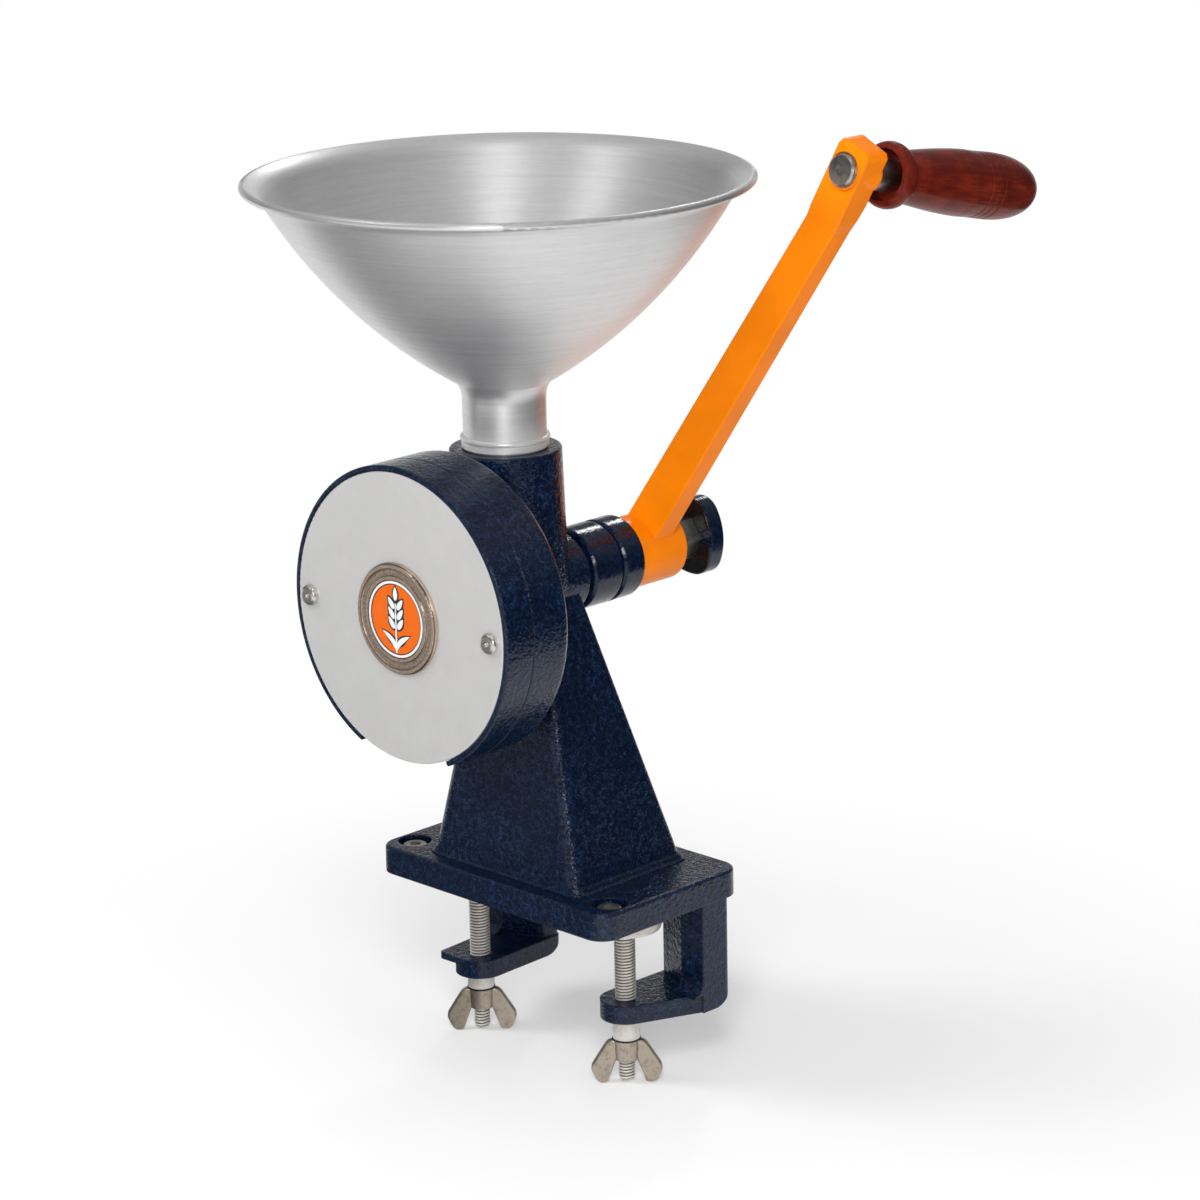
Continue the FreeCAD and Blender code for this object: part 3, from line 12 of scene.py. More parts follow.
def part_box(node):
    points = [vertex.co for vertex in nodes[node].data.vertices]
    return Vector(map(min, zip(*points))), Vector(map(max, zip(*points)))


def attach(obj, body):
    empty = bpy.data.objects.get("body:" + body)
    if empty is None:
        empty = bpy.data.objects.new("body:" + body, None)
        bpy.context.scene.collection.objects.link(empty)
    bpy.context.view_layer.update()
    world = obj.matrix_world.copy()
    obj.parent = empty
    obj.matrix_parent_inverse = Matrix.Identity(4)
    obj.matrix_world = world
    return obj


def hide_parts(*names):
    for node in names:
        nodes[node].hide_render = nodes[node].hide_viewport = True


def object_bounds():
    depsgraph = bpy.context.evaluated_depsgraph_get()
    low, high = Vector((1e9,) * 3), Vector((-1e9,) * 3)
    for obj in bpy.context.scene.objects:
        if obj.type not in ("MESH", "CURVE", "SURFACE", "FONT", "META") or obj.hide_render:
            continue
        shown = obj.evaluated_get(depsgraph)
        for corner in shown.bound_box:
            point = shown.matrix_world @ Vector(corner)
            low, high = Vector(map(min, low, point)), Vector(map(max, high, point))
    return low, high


bl_info = {
    "name": "Hand grain mill",
    "version": (1, 0, 0),
    "blender": (4, 5, 0),
    "location": "3D View > Sidebar > Grain mill",
    "description": "Dresses the frame of a hand grain mill and sets up its studio",
    "category": "Object",
}

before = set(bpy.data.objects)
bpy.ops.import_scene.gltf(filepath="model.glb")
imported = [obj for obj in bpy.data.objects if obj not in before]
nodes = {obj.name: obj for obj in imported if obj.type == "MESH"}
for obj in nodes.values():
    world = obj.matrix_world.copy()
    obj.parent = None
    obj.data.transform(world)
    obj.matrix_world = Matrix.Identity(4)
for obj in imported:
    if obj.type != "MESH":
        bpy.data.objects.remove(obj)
cad_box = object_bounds()

MM = 0.001
SMOOTH_ANGLE = math.radians(32)


def colour(name, text, default):
    """A colour for the panel."""
    return FloatVectorProperty(name=name, description=text, default=default, subtype="COLOR",
                               min=0, max=1)


def length(name, text, default):
    """A length for the panel, with its default in millimetres."""
    return FloatProperty(name=name, description=text, default=default * MM, min=0, unit="LENGTH",
                         precision=5)


def angle(name, text, default):
    """An angle for the panel, with its default in degrees."""
    return FloatProperty(name=name, description=text, default=math.radians(default), subtype="ANGLE")


def camera_length(name, text, default):
    """A camera's length for the panel, in millimetres."""
    return FloatProperty(name=name, description=text, default=default, min=1, unit="CAMERA")


def fraction(name, text, default):
    """A share of a whole for the panel."""
    return FloatProperty(name=name, description=text, default=default, min=0, max=1, subtype="FACTOR")


def number(name, text, default):
    """A plain number for the panel."""
    return FloatProperty(name=name, description=text, default=default, min=0)


def whole(name, text, default, least):
    """A whole number for the panel."""
    return IntProperty(name=name, description=text, default=default, min=least)


class MillColours(bpy.types.PropertyGroup):
    """The colours of the mill's finishes."""

    navy: colour("Navy", "Body of the hammered paint", (0.0011, 0.0058, 0.0215))
    # Light flakes of the hammered paint, partly the paint's own and partly painted glints of light in
    # its dimples
    navy_fleck_glint: colour("Navy fleck", "Light flakes in the hammered paint", (0.026, 0.088, 0.225))
    orange: colour("Orange", "Paint of the crank", (0.95, 0.230, 0.0004))
    spun_metal: colour("Spun aluminium", "Hopper and its collar", (0.76, 0.755, 0.755))
    cover_metal: colour("Satin aluminium", "Cover of the burr drum", (0.64, 0.635, 0.63))
    nickel: colour("Nickel", "Rim of the badge", (0.56, 0.44, 0.355))
    enamel: colour("Enamel field", "Ground of the badge", (0.74, 0.125, 0.004))
    enamel_light: colour("Enamel light", "Kernels on the badge", (0.74, 0.75, 0.76))
    enamel_dark: colour("Enamel outline", "Outlines on the badge", (0.012, 0.014, 0.018))
    steel: colour("Steel", "Screws, bolts and nuts", (0.46, 0.45, 0.43))
    cast_metal: colour("Cast metal", "Wing nuts", (0.50, 0.43, 0.36))
    pad_metal: colour("Pad metal", "Clamp pads and stop collars", (0.70, 0.67, 0.63))
    wood: colour("Wood", "Lacquered hardwood of the grip", (0.096, 0.0062, 0.0036))
    wood_light: colour("Wood figure", "Pale figure of the grip", (0.210, 0.0230, 0.0070))
    wood_dark: colour("Wood grain", "Dark streaks of the grip", (0.026, 0.0030, 0.0020))
    bronze: colour("Bronze", "Bushes and the grip's insert", (0.42, 0.24, 0.08))
    burr_iron: colour("Burr iron", "Burrs and auger", (0.10, 0.10, 0.10))
    # Near black painted on the knob's front face as painted shade, where it lies in shadow
    knob_shade_black: colour("Knob face", "Bare front face of the adjusting knob", (0.004, 0.004, 0.005))
    ring_dark: colour("Dark ring", "Thin rings above the wing nuts", (0.05, 0.05, 0.05))


class MillSizes(bpy.types.PropertyGroup):
    """Sizes of the fine pieces that are made here, and of what the finishes follow."""

    hammer_cell: length("Hammer cell", "Width of one dimple of the hammered paint", 1.3)
    thread_pitch: length("Clamp thread pitch", "Rise of one turn of the clamp screws", 1.5)
    thread_depth: length("Clamp thread depth", "Crest to root", 0.85)
    thread_steps: whole("Thread steps", "Faces round a clamp screw", 56, 12)
    stub_radius: length("Stub radius", "Clamp screw where the wing nut sits", 3.9)
    # How deep the painted shade on the knob's front face reaches
    knob_shade_depth: length("Knob face depth", "How far back the knob's bare face reaches", 1.0)
    neck_top: length("Neck top", "Height at which the hopper's neck widens into the cone", 218.0)
    kernel_length: length("Kernel length", "Length of a kernel of the badge's ear", 6.2)
    kernel_width: length("Kernel width", "Width of a kernel of the badge's ear", 3.1)
    kernel_rise: length("Kernel rise", "Rise from one pair of kernels to the next", 4.5)
    kernel_lean: angle("Kernel lean", "How far a side kernel leans outwards", 36)
    outline_width: length("Outline width", "Dark outline round the badge's raised shapes", 0.95)
    bead_size: length("Bead size", "Radius of a bead in the badge's rim", 0.34)
    bead_count: whole("Beads", "Beads in the badge's rim", 64, 8)
    valley_depth: length("Valley depth", "How far back the valley of the badge's rim lies", 0.7)
    grip_droop: angle("Grip droop", "How far the grip droops from the shaft's direction", 12)


class MillStudio(bpy.types.PropertyGroup):
    """Camera and light."""

    azimuth: angle("Camera azimuth", "How far the camera stands round the mill from its front", 44.97)
    elevation: angle("Camera elevation", "How far it stands above the horizon", 16.13)
    roll: angle("Camera roll", "How far it is turned about its view", -1.17)
    distance: length("Camera distance", "From the aim", 1858.51)
    lens: camera_length("Lens", "Focal length", 121.45)
    sensor: camera_length("Sensor", "Width of the sensor", 36)
    aim: FloatVectorProperty(
        name="Aim", description="Point in the middle of the frame", default=(0.01575, 0.01573, 0.13628),
        subtype="TRANSLATION",
    )
    sky: number("Sky", "Strength of the sky's light", 0.50)
    sky_low: number("Low sky", "Strength of the sky at the horizon in a reflection", 0.02)
    sky_high: number("High sky", "Strength of the sky overhead in a reflection", 0.42)
    backdrop: number("Backdrop", "Strength of the low backdrop behind the mill in a reflection", 0.80)
    backdrop_side: fraction("Backdrop side", "Cosine of the angle at which it has faded sideways", 0.78)
    backdrop_middle: fraction("Backdrop middle", "Cosine of the angle up to which it is full", 0.92)
    backdrop_top: fraction("Backdrop top", "Sine of the elevation at which it has faded", 0.32)
    backdrop_full: fraction("Backdrop height", "Sine of the elevation up to which it is full", 0.12)
    white_share: fraction("White share", "How much of the white background a reflection shows", 0.03)
    floor_lift: fraction("Floor lift", "White that is mixed into the floor beside the mill", 0.15)
    floor_white: fraction("Floor white", "Brightness of the floor", 0.94)
    floor_near: length("Floor fade start", "Where the floor starts to turn white", 160)
    floor_far: length("Floor fade end", "Where the floor is all white", 420)
    floor_reach: length("Floor reach", "From the mill to the floor's front and back edges", 6000)
    floor_right: length("Floor right", "From the mill to the floor's edge on the right", 530)
    floor_left: length("Floor left", "From the mill to the floor's edge on the left", 6000)
    flag: number("Flag", "What a reflection shows of the shaded floor on the left", 0.10)
    flag_share: fraction("Flag share", "How much of the floor's reflection the flag covers", 0.95)
    flag_edge: length("Flag edge", "Where the shaded floor starts on the left", 20)
    flag_full: length("Flag full", "Where the shaded floor is full on the left", 80)
    flag_reach: length("Flag reach", "How far the full shade reaches to the front and back", 180)
    flag_end: length("Flag end", "Where the shade ends at the front and back", 320)
    lamp_aim: length("Lamp aim", "Height at which the lamps point", 130)


class Wire:
    """A socket of a finish, for use in sums."""

    def __init__(self, finish, socket):
        self.finish = finish
        self.socket = socket

    def __add__(self, other):
        return self.finish.maths("ADD", self, other)

    def __sub__(self, other):
        return self.finish.maths("SUBTRACT", self, other)

    def __rsub__(self, other):
        return self.finish.maths("SUBTRACT", other, self)

    def __mul__(self, other):
        return self.finish.maths("MULTIPLY", self, other)

    def __truediv__(self, other):
        return self.finish.maths("DIVIDE", self, other)

    def __abs__(self):
        return self.finish.maths("ABSOLUTE", self)

    __radd__ = __add__
    __rmul__ = __mul__


class Finish:
    """A material or world with one way to add nodes."""

    def __init__(self, name, base=None, turn=0.0, kind="materials", **sockets):
        self.material = getattr(bpy.data, kind).new(name)
        self.material.use_nodes = True
        self.tree = self.material.node_tree
        self.turn = turn
        self.shader = self.tree.nodes.get("Principled BSDF")
        if base is not None:
            self.set("Base Color", base)
        for socket, value in sockets.items():
            self.set(socket.replace("_", " "), value)

    def set(self, socket, value):
        self.feed(self.shader.inputs[socket], value)

    def feed(self, socket, value):
        if isinstance(value, Wire):
            self.tree.links.new(value.socket, socket)
        elif socket.type == "RGBA" and len(value) == 3:
            socket.default_value = (*value, 1)
        else:
            socket.default_value = value

    def node(self, kind, settings=None, inputs=None, output=0):
        """A node of this kind: its settings first, then the values or links of its sockets."""
        made = self.tree.nodes.new(kind)
        for key, value in (settings or {}).items():
            setattr(made, key, value)
        for key, value in (inputs or {}).items():
            self.feed(made.inputs[key], value)
        return Wire(self, made.outputs[output])

    def maths(self, operation, *values):
        return self.node("ShaderNodeMath", {"operation": operation}, dict(enumerate(values)))

    def vector(self, operation, *values, output=0):
        settings = {"operation": operation}
        return self.node("ShaderNodeVectorMath", settings, dict(enumerate(values)), output)

    def mix(self, share, first, second):
        """The first colour where share is 0, the second where it is 1."""
        inputs = {0: share, 6: first, 7: second}
        return self.node("ShaderNodeMix", {"data_type": "RGBA"}, inputs, output=2)

    def mix_shader(self, share, first, second):
        return self.node("ShaderNodeMixShader", None, {0: share, 1: first, 2: second})

    def light(self, kind, strength):
        """White light from an emission or background node."""
        return self.node(f"ShaderNode{kind}", None, {"Color": (1, 1, 1), "Strength": strength})

    def place(self, stretch=(1, 1, 1)):
        """The point on the piece in millimetres, turned about X where the piece's own axis is."""
        point = self.node("ShaderNodeTexCoord", output="Object")
        if self.turn:
            settings = {"rotation_type": "X_AXIS"}
            point = self.node("ShaderNodeVectorRotate", settings, {"Vector": point, "Angle": self.turn})
        return self.vector("MULTIPLY", point, tuple(part / MM for part in stretch))

    def part_of_place(self, axis):
        """One coordinate of the point on the piece in millimetres."""
        return self.node("ShaderNodeSeparateXYZ", None, {0: self.place()}, output=axis)

    def noise(self, size, detail=2.0, rough=0.5, stretch=(1, 1, 1), swirl=0.0, output="Fac"):
        """Soft noise whose patches are about size millimetres wide."""
        inputs = {"Vector": self.place(stretch), "Scale": 1 / size, "Detail": detail, "Roughness": rough,
                  "Distortion": swirl}
        return self.node("ShaderNodeTexNoise", None, inputs, output)

    def cells(self, size, feature="F1", warp=0.0, stretch=(1, 1, 1)):
        """Distance to the middle of the nearest cell, in cells about size millimetres wide."""
        point = self.place(stretch)
        if warp:
            push = self.noise(size, detail=1.0, stretch=stretch, output="Color")
            push = self.vector("MULTIPLY", push, (warp * size,) * 3)
            point = self.vector("ADD", point, push)
        inputs = {"Vector": point, "Scale": 1 / size}
        return self.node("ShaderNodeTexVoronoi", {"feature": feature}, inputs, output="Distance")

    def step(self, value, low, high):
        """0 below low, 1 above high and soft between."""
        inputs = {"Value": value, 1: low, 2: high}
        return self.node("ShaderNodeMapRange", {"interpolation_type": "SMOOTHSTEP"}, inputs)

    def bump(self, height, depth, soft_edge=0.0):
        """Feeds the normal with a relief depth millimetres high, over edges rounded by soft_edge."""
        inputs = {"Height": height, "Distance": depth * MM, "Strength": 1.0}
        if soft_edge:
            inputs["Normal"] = self.node("ShaderNodeBevel", {"samples": 4}, {"Radius": soft_edge * MM})
        self.set("Normal", self.node("ShaderNodeBump", None, inputs))


def shaded(tone, share):
    """A tone made lighter or darker."""
    return tuple(min(1, part * share) for part in tone)


def hammered_paint(name, tone, fleck_glint_tone, cell, flecks=1.0, relief=1.0, face_tone=None, face_back=0.0):
    """Dark hammered enamel: dimples in the relief and light flakes in worm-like strokes and dots; the
    flakes are partly the paint's own and partly painted glints of light in the dimples.
    Where a face tone is given, what lies in front of the given face back wears that tone instead, as
    painted shade on the front face."""
    relief_depth = 0.38 * relief
    face_edge = 0.1
    paint = Finish(name, tone, Specular_IOR_Level=0.40)
    dimple = paint.cells(cell, "SMOOTH_F1", warp=0.9)
    swell = paint.noise(cell * 2.2, detail=1.5)
    worm = paint.noise(cell * 1.25, detail=1.5, swirl=1.6)
    stroke = paint.step(abs(worm - 0.5), 0.038, 0.0)
    patch = paint.step(paint.noise(cell * 2.1, detail=2.0), 0.44, 0.62)
    cloud = paint.step(paint.noise(cell * 16, detail=2.0), 0.30, 0.68)
    dot = paint.step(paint.cells(cell * 0.8, "F1", warp=0.5), 0.26, 0.10)
    lone = paint.step(paint.noise(cell * 1.1, detail=1.0), 0.56, 0.66)
    # Flakes in strokes and dots, brighter in soft clouds: partly the paint's own flakes and partly
    # painted glints of light
    glint = (stroke * patch * 0.75 + dot * lone) * (0.30 + cloud * 0.70) * flecks
    deep = paint.mix(paint.step(dimple, 0.1, 0.7), shaded(tone, 1.5), shaded(tone, 0.6))
    body = paint.mix(glint, deep, fleck_glint_tone)
    # Painted shade: the knob's front face, which lies in shadow, is painted near black
    if face_tone:
        shadowed = paint.step(paint.part_of_place("Y"), face_back, face_back - face_edge)
        body = paint.mix(shadowed, body, face_tone)
    paint.set("Base Color", body)
    paint.set("Roughness", 0.13 + patch * 0.10)
    paint.bump(dimple * 0.5 + swell * 0.9 + worm * 0.35, relief_depth, soft_edge=1.4)
    return paint.material


def smooth_paint(name, tone):
    """Even powder coat with a faint orange-peel skin, deeper in its wide soft zones."""
    paint = Finish(name, tone, Coat_Weight=0.05, Coat_Roughness=0.08, Specular_IOR_Level=0.12)
    skin = paint.noise(1.5, detail=2.0)
    wide = paint.noise(30.0, detail=2.0)
    speck = paint.step(paint.noise(0.8, detail=2.0), 0.62, 0.74)
    body = paint.mix(paint.step(wide, 0.35, 0.65), shaded(tone, 0.90), tone)
    paint.set("Base Color", paint.mix(speck * 0.25, body, shaded(tone, 0.78)))
    paint.set("Roughness", 0.30 + skin * 0.14)
    paint.bump(skin, 0.05, soft_edge=1.1)
    return paint.material


def spun_sheet(name, tone, neck_top):
    """Spun aluminium: fine circular marks round the upright axis, and a duller neck up to neck_top."""
    neck_blend, cone_blend = 6, 14
    neck_metallic, cone_metallic = 0.40, 0.88
    metal = Finish(name, tone, Specular_IOR_Level=0.3, Anisotropic=0.45, Anisotropic_Rotation=0.25)
    cone = metal.step(metal.part_of_place("Z"), neck_top - neck_blend, neck_top + cone_blend)
    ring = metal.noise(1.6, detail=3.0, rough=0.65, stretch=(0.012, 0.012, 1.0))
    marks = metal.noise(0.7, detail=2.0, rough=0.7, stretch=(0.05, 0.05, 1.3))
    smear = metal.noise(38.0, detail=3.0)
    grain = metal.noise(0.45, detail=2.0)
    chatter = metal.noise(3.0, detail=2.0, stretch=(0.35, 0.35, 1.0), swirl=1.2)
    shade = 0.40 * ring + 0.30 * marks + 0.15 * grain + 0.15 * chatter
    body = metal.mix(metal.step(shade, 0.34, 0.66), shaded(tone, 0.93), shaded(tone, 1.05))
    metal.set("Base Color", metal.mix(cone, shaded(tone, 0.98), body))
    metal.set("Metallic", neck_metallic + cone * (cone_metallic - neck_metallic))
    metal.set("Roughness", 0.36 + smear * 0.10 + ring * 0.05)
    metal.bump(ring * 0.5 + marks * 0.3 + chatter * 0.8, 0.014)
    return metal.material


def satin_sheet(name, tone):
    """Flat satin aluminium with a faint mottle."""
    metal = Finish(name, tone, Metallic=0.45, Specular_IOR_Level=0.3)
    mottle = metal.noise(11.0, detail=4.0, rough=0.6)
    grain = metal.noise(0.45, detail=2.0)
    brush = metal.noise(0.6, detail=2.0, stretch=(0.06, 1.0, 1.0))
    shade = mottle * 0.5 + grain * 0.5
    body = metal.mix(metal.step(shade, 0.32, 0.68), shaded(tone, 0.97), shaded(tone, 1.03))
    metal.set("Base Color", body)
    metal.set("Roughness", 0.42 + mottle * 0.08)
    metal.bump(grain * 0.6 + brush * 0.4, 0.010, soft_edge=0.5)
    return metal.material


def machined_steel(name, tone, rough=0.24, mark=0.006, stain=0.55, metallic=1.0):
    """Machined metal with fine turning marks and some dark handling stains."""
    metal = Finish(name, tone, Metallic=metallic, Specular_IOR_Level=0.4)
    marks = metal.noise(0.25, detail=2.0)
    patch = metal.noise(4.0, detail=4.0, rough=0.65)
    dark = metal.step(patch, 0.42, 0.74)
    metal.set("Base Color", metal.mix(dark, tone, shaded(tone, stain)))
    metal.set("Roughness", rough + marks * 0.10 + patch * 0.12)
    metal.bump(marks, mark, soft_edge=0.15)
    return metal.material


def thread_finish(name, tone, pitch):
    """Rolled thread about the piece's own Z axis: crests painted lighter as a painted highlight, and
    roots painted dark as painted shade.
    """
    metal = Finish(name, tone, Metallic=0.7, Specular_IOR_Level=0.4)
    x, y, z = (metal.part_of_place(axis) for axis in ("X", "Y", "Z"))
    turn = metal.maths("ARCTAN2", y, x) / math.tau
    wave = abs(metal.maths("FLOORED_MODULO", z / pitch - turn, 1.0) * 2 - 1)
    # Painted shade along the thread's roots; the rest is painted lighter as a painted highlight on the
    # crests
    root_shade = metal.step(wave + metal.noise(1.1, detail=3.0) * 0.30, 0.74, 0.34)
    marks = metal.noise(0.25, detail=2.0)
    metal.set("Base Color", metal.mix(root_shade * 0.90, shaded(tone, 1.25), shaded(tone, 0.12)))
    metal.set("Roughness", 0.24 + marks * 0.12 + root_shade * 0.20)
    metal.bump(marks, 0.004)
    return metal.material


def rim_finish(name, tone, middle, radius):
    """Nickel rim of a round badge: polished lips painted lighter as a painted highlight, thin dark lines
    of painted shade and dark reflection beside them, and a duller valley.
    Every line and the valley lie at a share of the rim's radius, with half their width."""
    # Thin rings of painted shade and dark reflection, given as shares of the rim's radius and half
    # widths
    shade_rings = ((0.985, 0.018), (0.905, 0.010), (0.775, 0.010), (0.700, 0.012))
    valley_at, valley_half, valley_flat = 0.84, 0.072, 0.050
    metal = Finish(name, tone, Metallic=0.85, Specular_IOR_Level=0.4)
    spoke = metal.vector("SUBTRACT", metal.place((1, 0, 1)), (middle.x / MM, 0, middle.z / MM))
    far = metal.vector("LENGTH", spoke, output="Value") / radius
    lines = 0.0
    for at, half in shade_rings:
        lines = lines + metal.step(abs(far - at), half, half * 0.4)
    valley = metal.step(abs(far - valley_at), valley_half, valley_flat)
    stain = metal.step(metal.noise(1.6, detail=3.0, rough=0.6), 0.40, 0.66)
    # Painted highlight: the lips are painted lighter than the rim's tone
    lip_highlight = metal.mix(stain * 0.25, shaded(tone, 1.35), tone)
    dull = metal.mix(stain, shaded(tone, 0.95), shaded(tone, 0.62))
    body = metal.mix(valley, lip_highlight, dull)
    metal.set("Base Color", metal.mix(lines * 0.85, body, shaded(tone, 0.12)))
    metal.set("Roughness", 0.20 + valley * 0.14 + stain * 0.06)
    metal.bump(stain, 0.05, soft_edge=0.2)
    return metal.material


def cast_finish(name, tone):
    """Blasted casting: pitted skin, and warm stains in soft patches."""
    metal = Finish(name, tone, Metallic=1.0)
    pits = metal.cells(0.9, "F1", warp=0.8)
    stain = metal.noise(3.2, detail=4.0, rough=0.7)
    skin = metal.noise(0.7, detail=3.0)
    warm = (tone[0] * 0.60, tone[1] * 0.54, tone[2] * 0.48)
    metal.set("Base Color", metal.mix(metal.step(stain, 0.47, 0.72) * 0.8, tone, warm))
    metal.set("Roughness", 0.30 + skin * 0.16 + stain * 0.08)
    metal.bump(skin * 0.7 + pits * 0.3, 0.05, soft_edge=0.5)
    return metal.material


def turned_wood(name, tone, figure_tone, streak, droop):
    """Hardwood under tinted lacquer, with its grain along a grip that droops by this angle."""
    wood = Finish(name, tone, turn=math.pi / 2 + droop, Coat_Weight=0.22, Coat_Roughness=0.12,
                  Specular_IOR_Level=0.08)
    figure = wood.noise(6.0, detail=4.0, rough=0.6, stretch=(1.0, 1.0, 0.12), swirl=0.4)
    fibre = wood.noise(0.9, detail=3.0, rough=0.6, stretch=(1.0, 1.0, 0.06))
    pore = wood.cells(0.7, "F1", stretch=(1.0, 1.0, 0.10), warp=0.7)
    blotch = wood.noise(14.0, detail=3.0)
    body = wood.mix(wood.step(figure * 0.55 + blotch * 0.45, 0.40, 0.68), tone, figure_tone)
    grain = wood.step(fibre * 0.6 + figure * 0.4, 0.50, 0.64)
    body = wood.mix(grain * 0.55, body, streak)
    pores = 1 - wood.step(pore, 0.06, 0.22)
    wood.set("Base Color", wood.mix(pores * 0.5, body, shaded(streak, 0.6)))
    wood.set("Roughness", 0.30 + fibre * 0.16)
    wood.bump(fibre * 0.5 - pores * 0.5, 0.03, soft_edge=0.4)
    return wood.material


def plain_moulding(name, tone, rough):
    """Smooth fired or moulded surface with a very faint waviness."""
    skin = Finish(name, tone, Coat_Weight=0.3, Coat_Roughness=0.05, Specular_IOR_Level=0.3)
    wave = skin.noise(3.0, detail=2.0)
    skin.set("Base Color", skin.mix(wave, shaded(tone, 0.9), tone))
    skin.set("Roughness", rough + wave * 0.08)
    skin.bump(wave, 0.02)
    return skin.material


made_finishes = {}


def finish_of(name):
    """The named finish, made once."""
    if name in made_finishes:
        return made_finishes[name]
    colours = bpy.context.scene.mill_colours
    sizes = bpy.context.scene.mill_sizes

    def tone(key):
        return tuple(getattr(colours, key))

    def hammered(**changes):
        return hammered_paint(name, tone("navy"), tone("navy_fleck_glint"), sizes.hammer_cell / MM, **changes)

    def steel(key, **changes):
        return machined_steel(name, tone(key), **changes)

    def moulding(key, rough):
        return plain_moulding(name, tone(key), rough)

    def wood():
        return turned_wood(name, tone("wood"), tone("wood_light"), tone("wood_dark"), sizes.grip_droop)

    knob_shade_back = (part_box("adjusting_knob")[0].y + sizes.knob_shade_depth) / MM
    rim_low, rim_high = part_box("badge_bezel")
    rim_radius = (rim_high.x - rim_low.x) / 2
    makers = {
        "navy_hammer": hammered,
        "navy_smooth": lambda: hammered(flecks=0.5, relief=0.25),
        "knob_paint": lambda: hammered(flecks=0.4, relief=0.3, face_tone=tone("knob_shade_black"),
                                       face_back=knob_shade_back),
        "orange_paint": lambda: smooth_paint(name, tone("orange")),
        "spun_aluminium": lambda: spun_sheet(name, tone("spun_metal"), sizes.neck_top / MM),
        "satin_aluminium": lambda: satin_sheet(name, tone("cover_metal")),
        "badge_rim": lambda: rim_finish(name, tone("nickel"), centre("badge_bezel"), rim_radius / MM),
        "aged_nickel": lambda: steel("nickel", rough=0.20, mark=0.008, stain=0.8, metallic=0.6),
        "orange_enamel": lambda: moulding("enamel", 0.18),
        "white_enamel": lambda: moulding("enamel_light", 0.18),
        "dark_enamel": lambda: moulding("enamel_dark", 0.25),
        "steel": lambda: steel("steel"),
        "bright_steel": lambda: steel("pad_metal", rough=0.2, stain=0.8),
        "thread_steel": lambda: thread_finish(name, tone("pad_metal"), sizes.thread_pitch / MM),
        "dark_steel": lambda: steel("ring_dark", rough=0.32),
        "wing_casting": lambda: cast_finish(name, tone("cast_metal")),
        "pad_metal": lambda: steel("pad_metal", rough=0.34, stain=0.85, metallic=0.6),
        "bronze": lambda: steel("bronze", rough=0.3),
        "burr_iron": lambda: steel("burr_iron", rough=0.42, mark=0.04),
        "lacquered_wood": wood,
    }
    made_finishes[name] = makers[name]()
    return made_finishes[name]


def dress(finish, *names):
    """Gives CAD nodes this finish."""
    for name in names:
        for slot in nodes[name].material_slots:
            slot.material = finish_of(finish)


def new_piece(name, mesh, place, body, finish, replaced=()):
    """Puts a mesh into the scene as a piece of the mill."""
    mesh.shade_smooth()
    mesh.set_sharp_from_angle(angle=SMOOTH_ANGLE)
    mesh.materials.append(finish_of(finish))
    piece = bpy.data.objects.new(name, mesh)
    bpy.context.scene.collection.objects.link(piece)
    piece.matrix_world = place
    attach(piece, body)
    if replaced:
        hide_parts(*replaced)


def finished_mesh(name, mesh):
    """A Blender mesh from a bmesh, with its faces turned outwards."""
    bmesh.ops.recalc_face_normals(mesh, faces=mesh.faces)
    made = bpy.data.meshes.new(name)
    mesh.to_mesh(made)
    mesh.free()
    return made


def centre(node):
    """The middle of a CAD node's box."""
    low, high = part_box(node)
    return (low + high) / 2


def bridge(mesh, loops):
    """Adds the faces between each loop of points and the next."""
    for lower, upper in zip(loops, loops[1:]):
        for i, corner in enumerate(lower):
            j = (i + 1) % len(lower)
            mesh.faces.new((corner, lower[j], upper[j], upper[i]))


def circle(radius, steps):
    """Points round (0, 0)."""
    angles = [math.tau * i / steps for i in range(steps)]
    return [(radius * math.cos(angle), radius * math.sin(angle)) for angle in angles]


def middle_of(outline):
    """The mean of an outline's points."""
    count = len(outline)
    return Vector((sum(p[0] for p in outline) / count, sum(p[1] for p in outline) / count))


def threaded_rod(name, stretches, pitch, depth, steps):
    """A right-hand threaded rod about its own Z axis, from (bottom, top, radius) stretches that meet.
    Its ends run out within one pitch."""
    rows_in_pitch = 8
    root_share = 0.12     # how much of the way from root to crest is flat root
    flank_share = 0.70    # and how much is flank
    mesh = bmesh.new()
    rings = []
    lowest, highest = stretches[0][0], stretches[-1][1]
    for bottom, top, radius in stretches:
        count = math.ceil((top - bottom) / pitch * rows_in_pitch)
        for row in range(count + 1):
            z = bottom + (top - bottom) * row / count
            taper = max(0, 1 - min(z - lowest, highest - z) / pitch)
            ring = []
            for i in range(steps):
                share = i / steps
                wave = abs(((z / pitch - share) % 1) * 2 - 1)
                crest = min(1, max(0, (wave - root_share) / flank_share))
                reach = min(radius - depth * (1 - crest), radius - depth * taper)
                angle = math.tau * share
                ring.append(mesh.verts.new((reach * math.cos(angle), reach * math.sin(angle), z)))
            rings.append(ring)
    bridge(mesh, rings)
    mesh.faces.new(rings[0][::-1])
    mesh.faces.new(rings[-1])
    return finished_mesh(name, mesh)


def teardrop(size, width, steps=28):
    """Closed outline from (0, 0) to (0, size): round at its foot and pointed at its top."""
    pinch = 0.55
    outline = []
    for i in range(steps):
        angle = math.tau * i / steps
        rise = (1 - math.cos(angle)) / 2
        swell = math.sin(angle) * (1 - pinch * rise ** 2)
        outline.append((swell * width / 2, rise * size))
    return outline


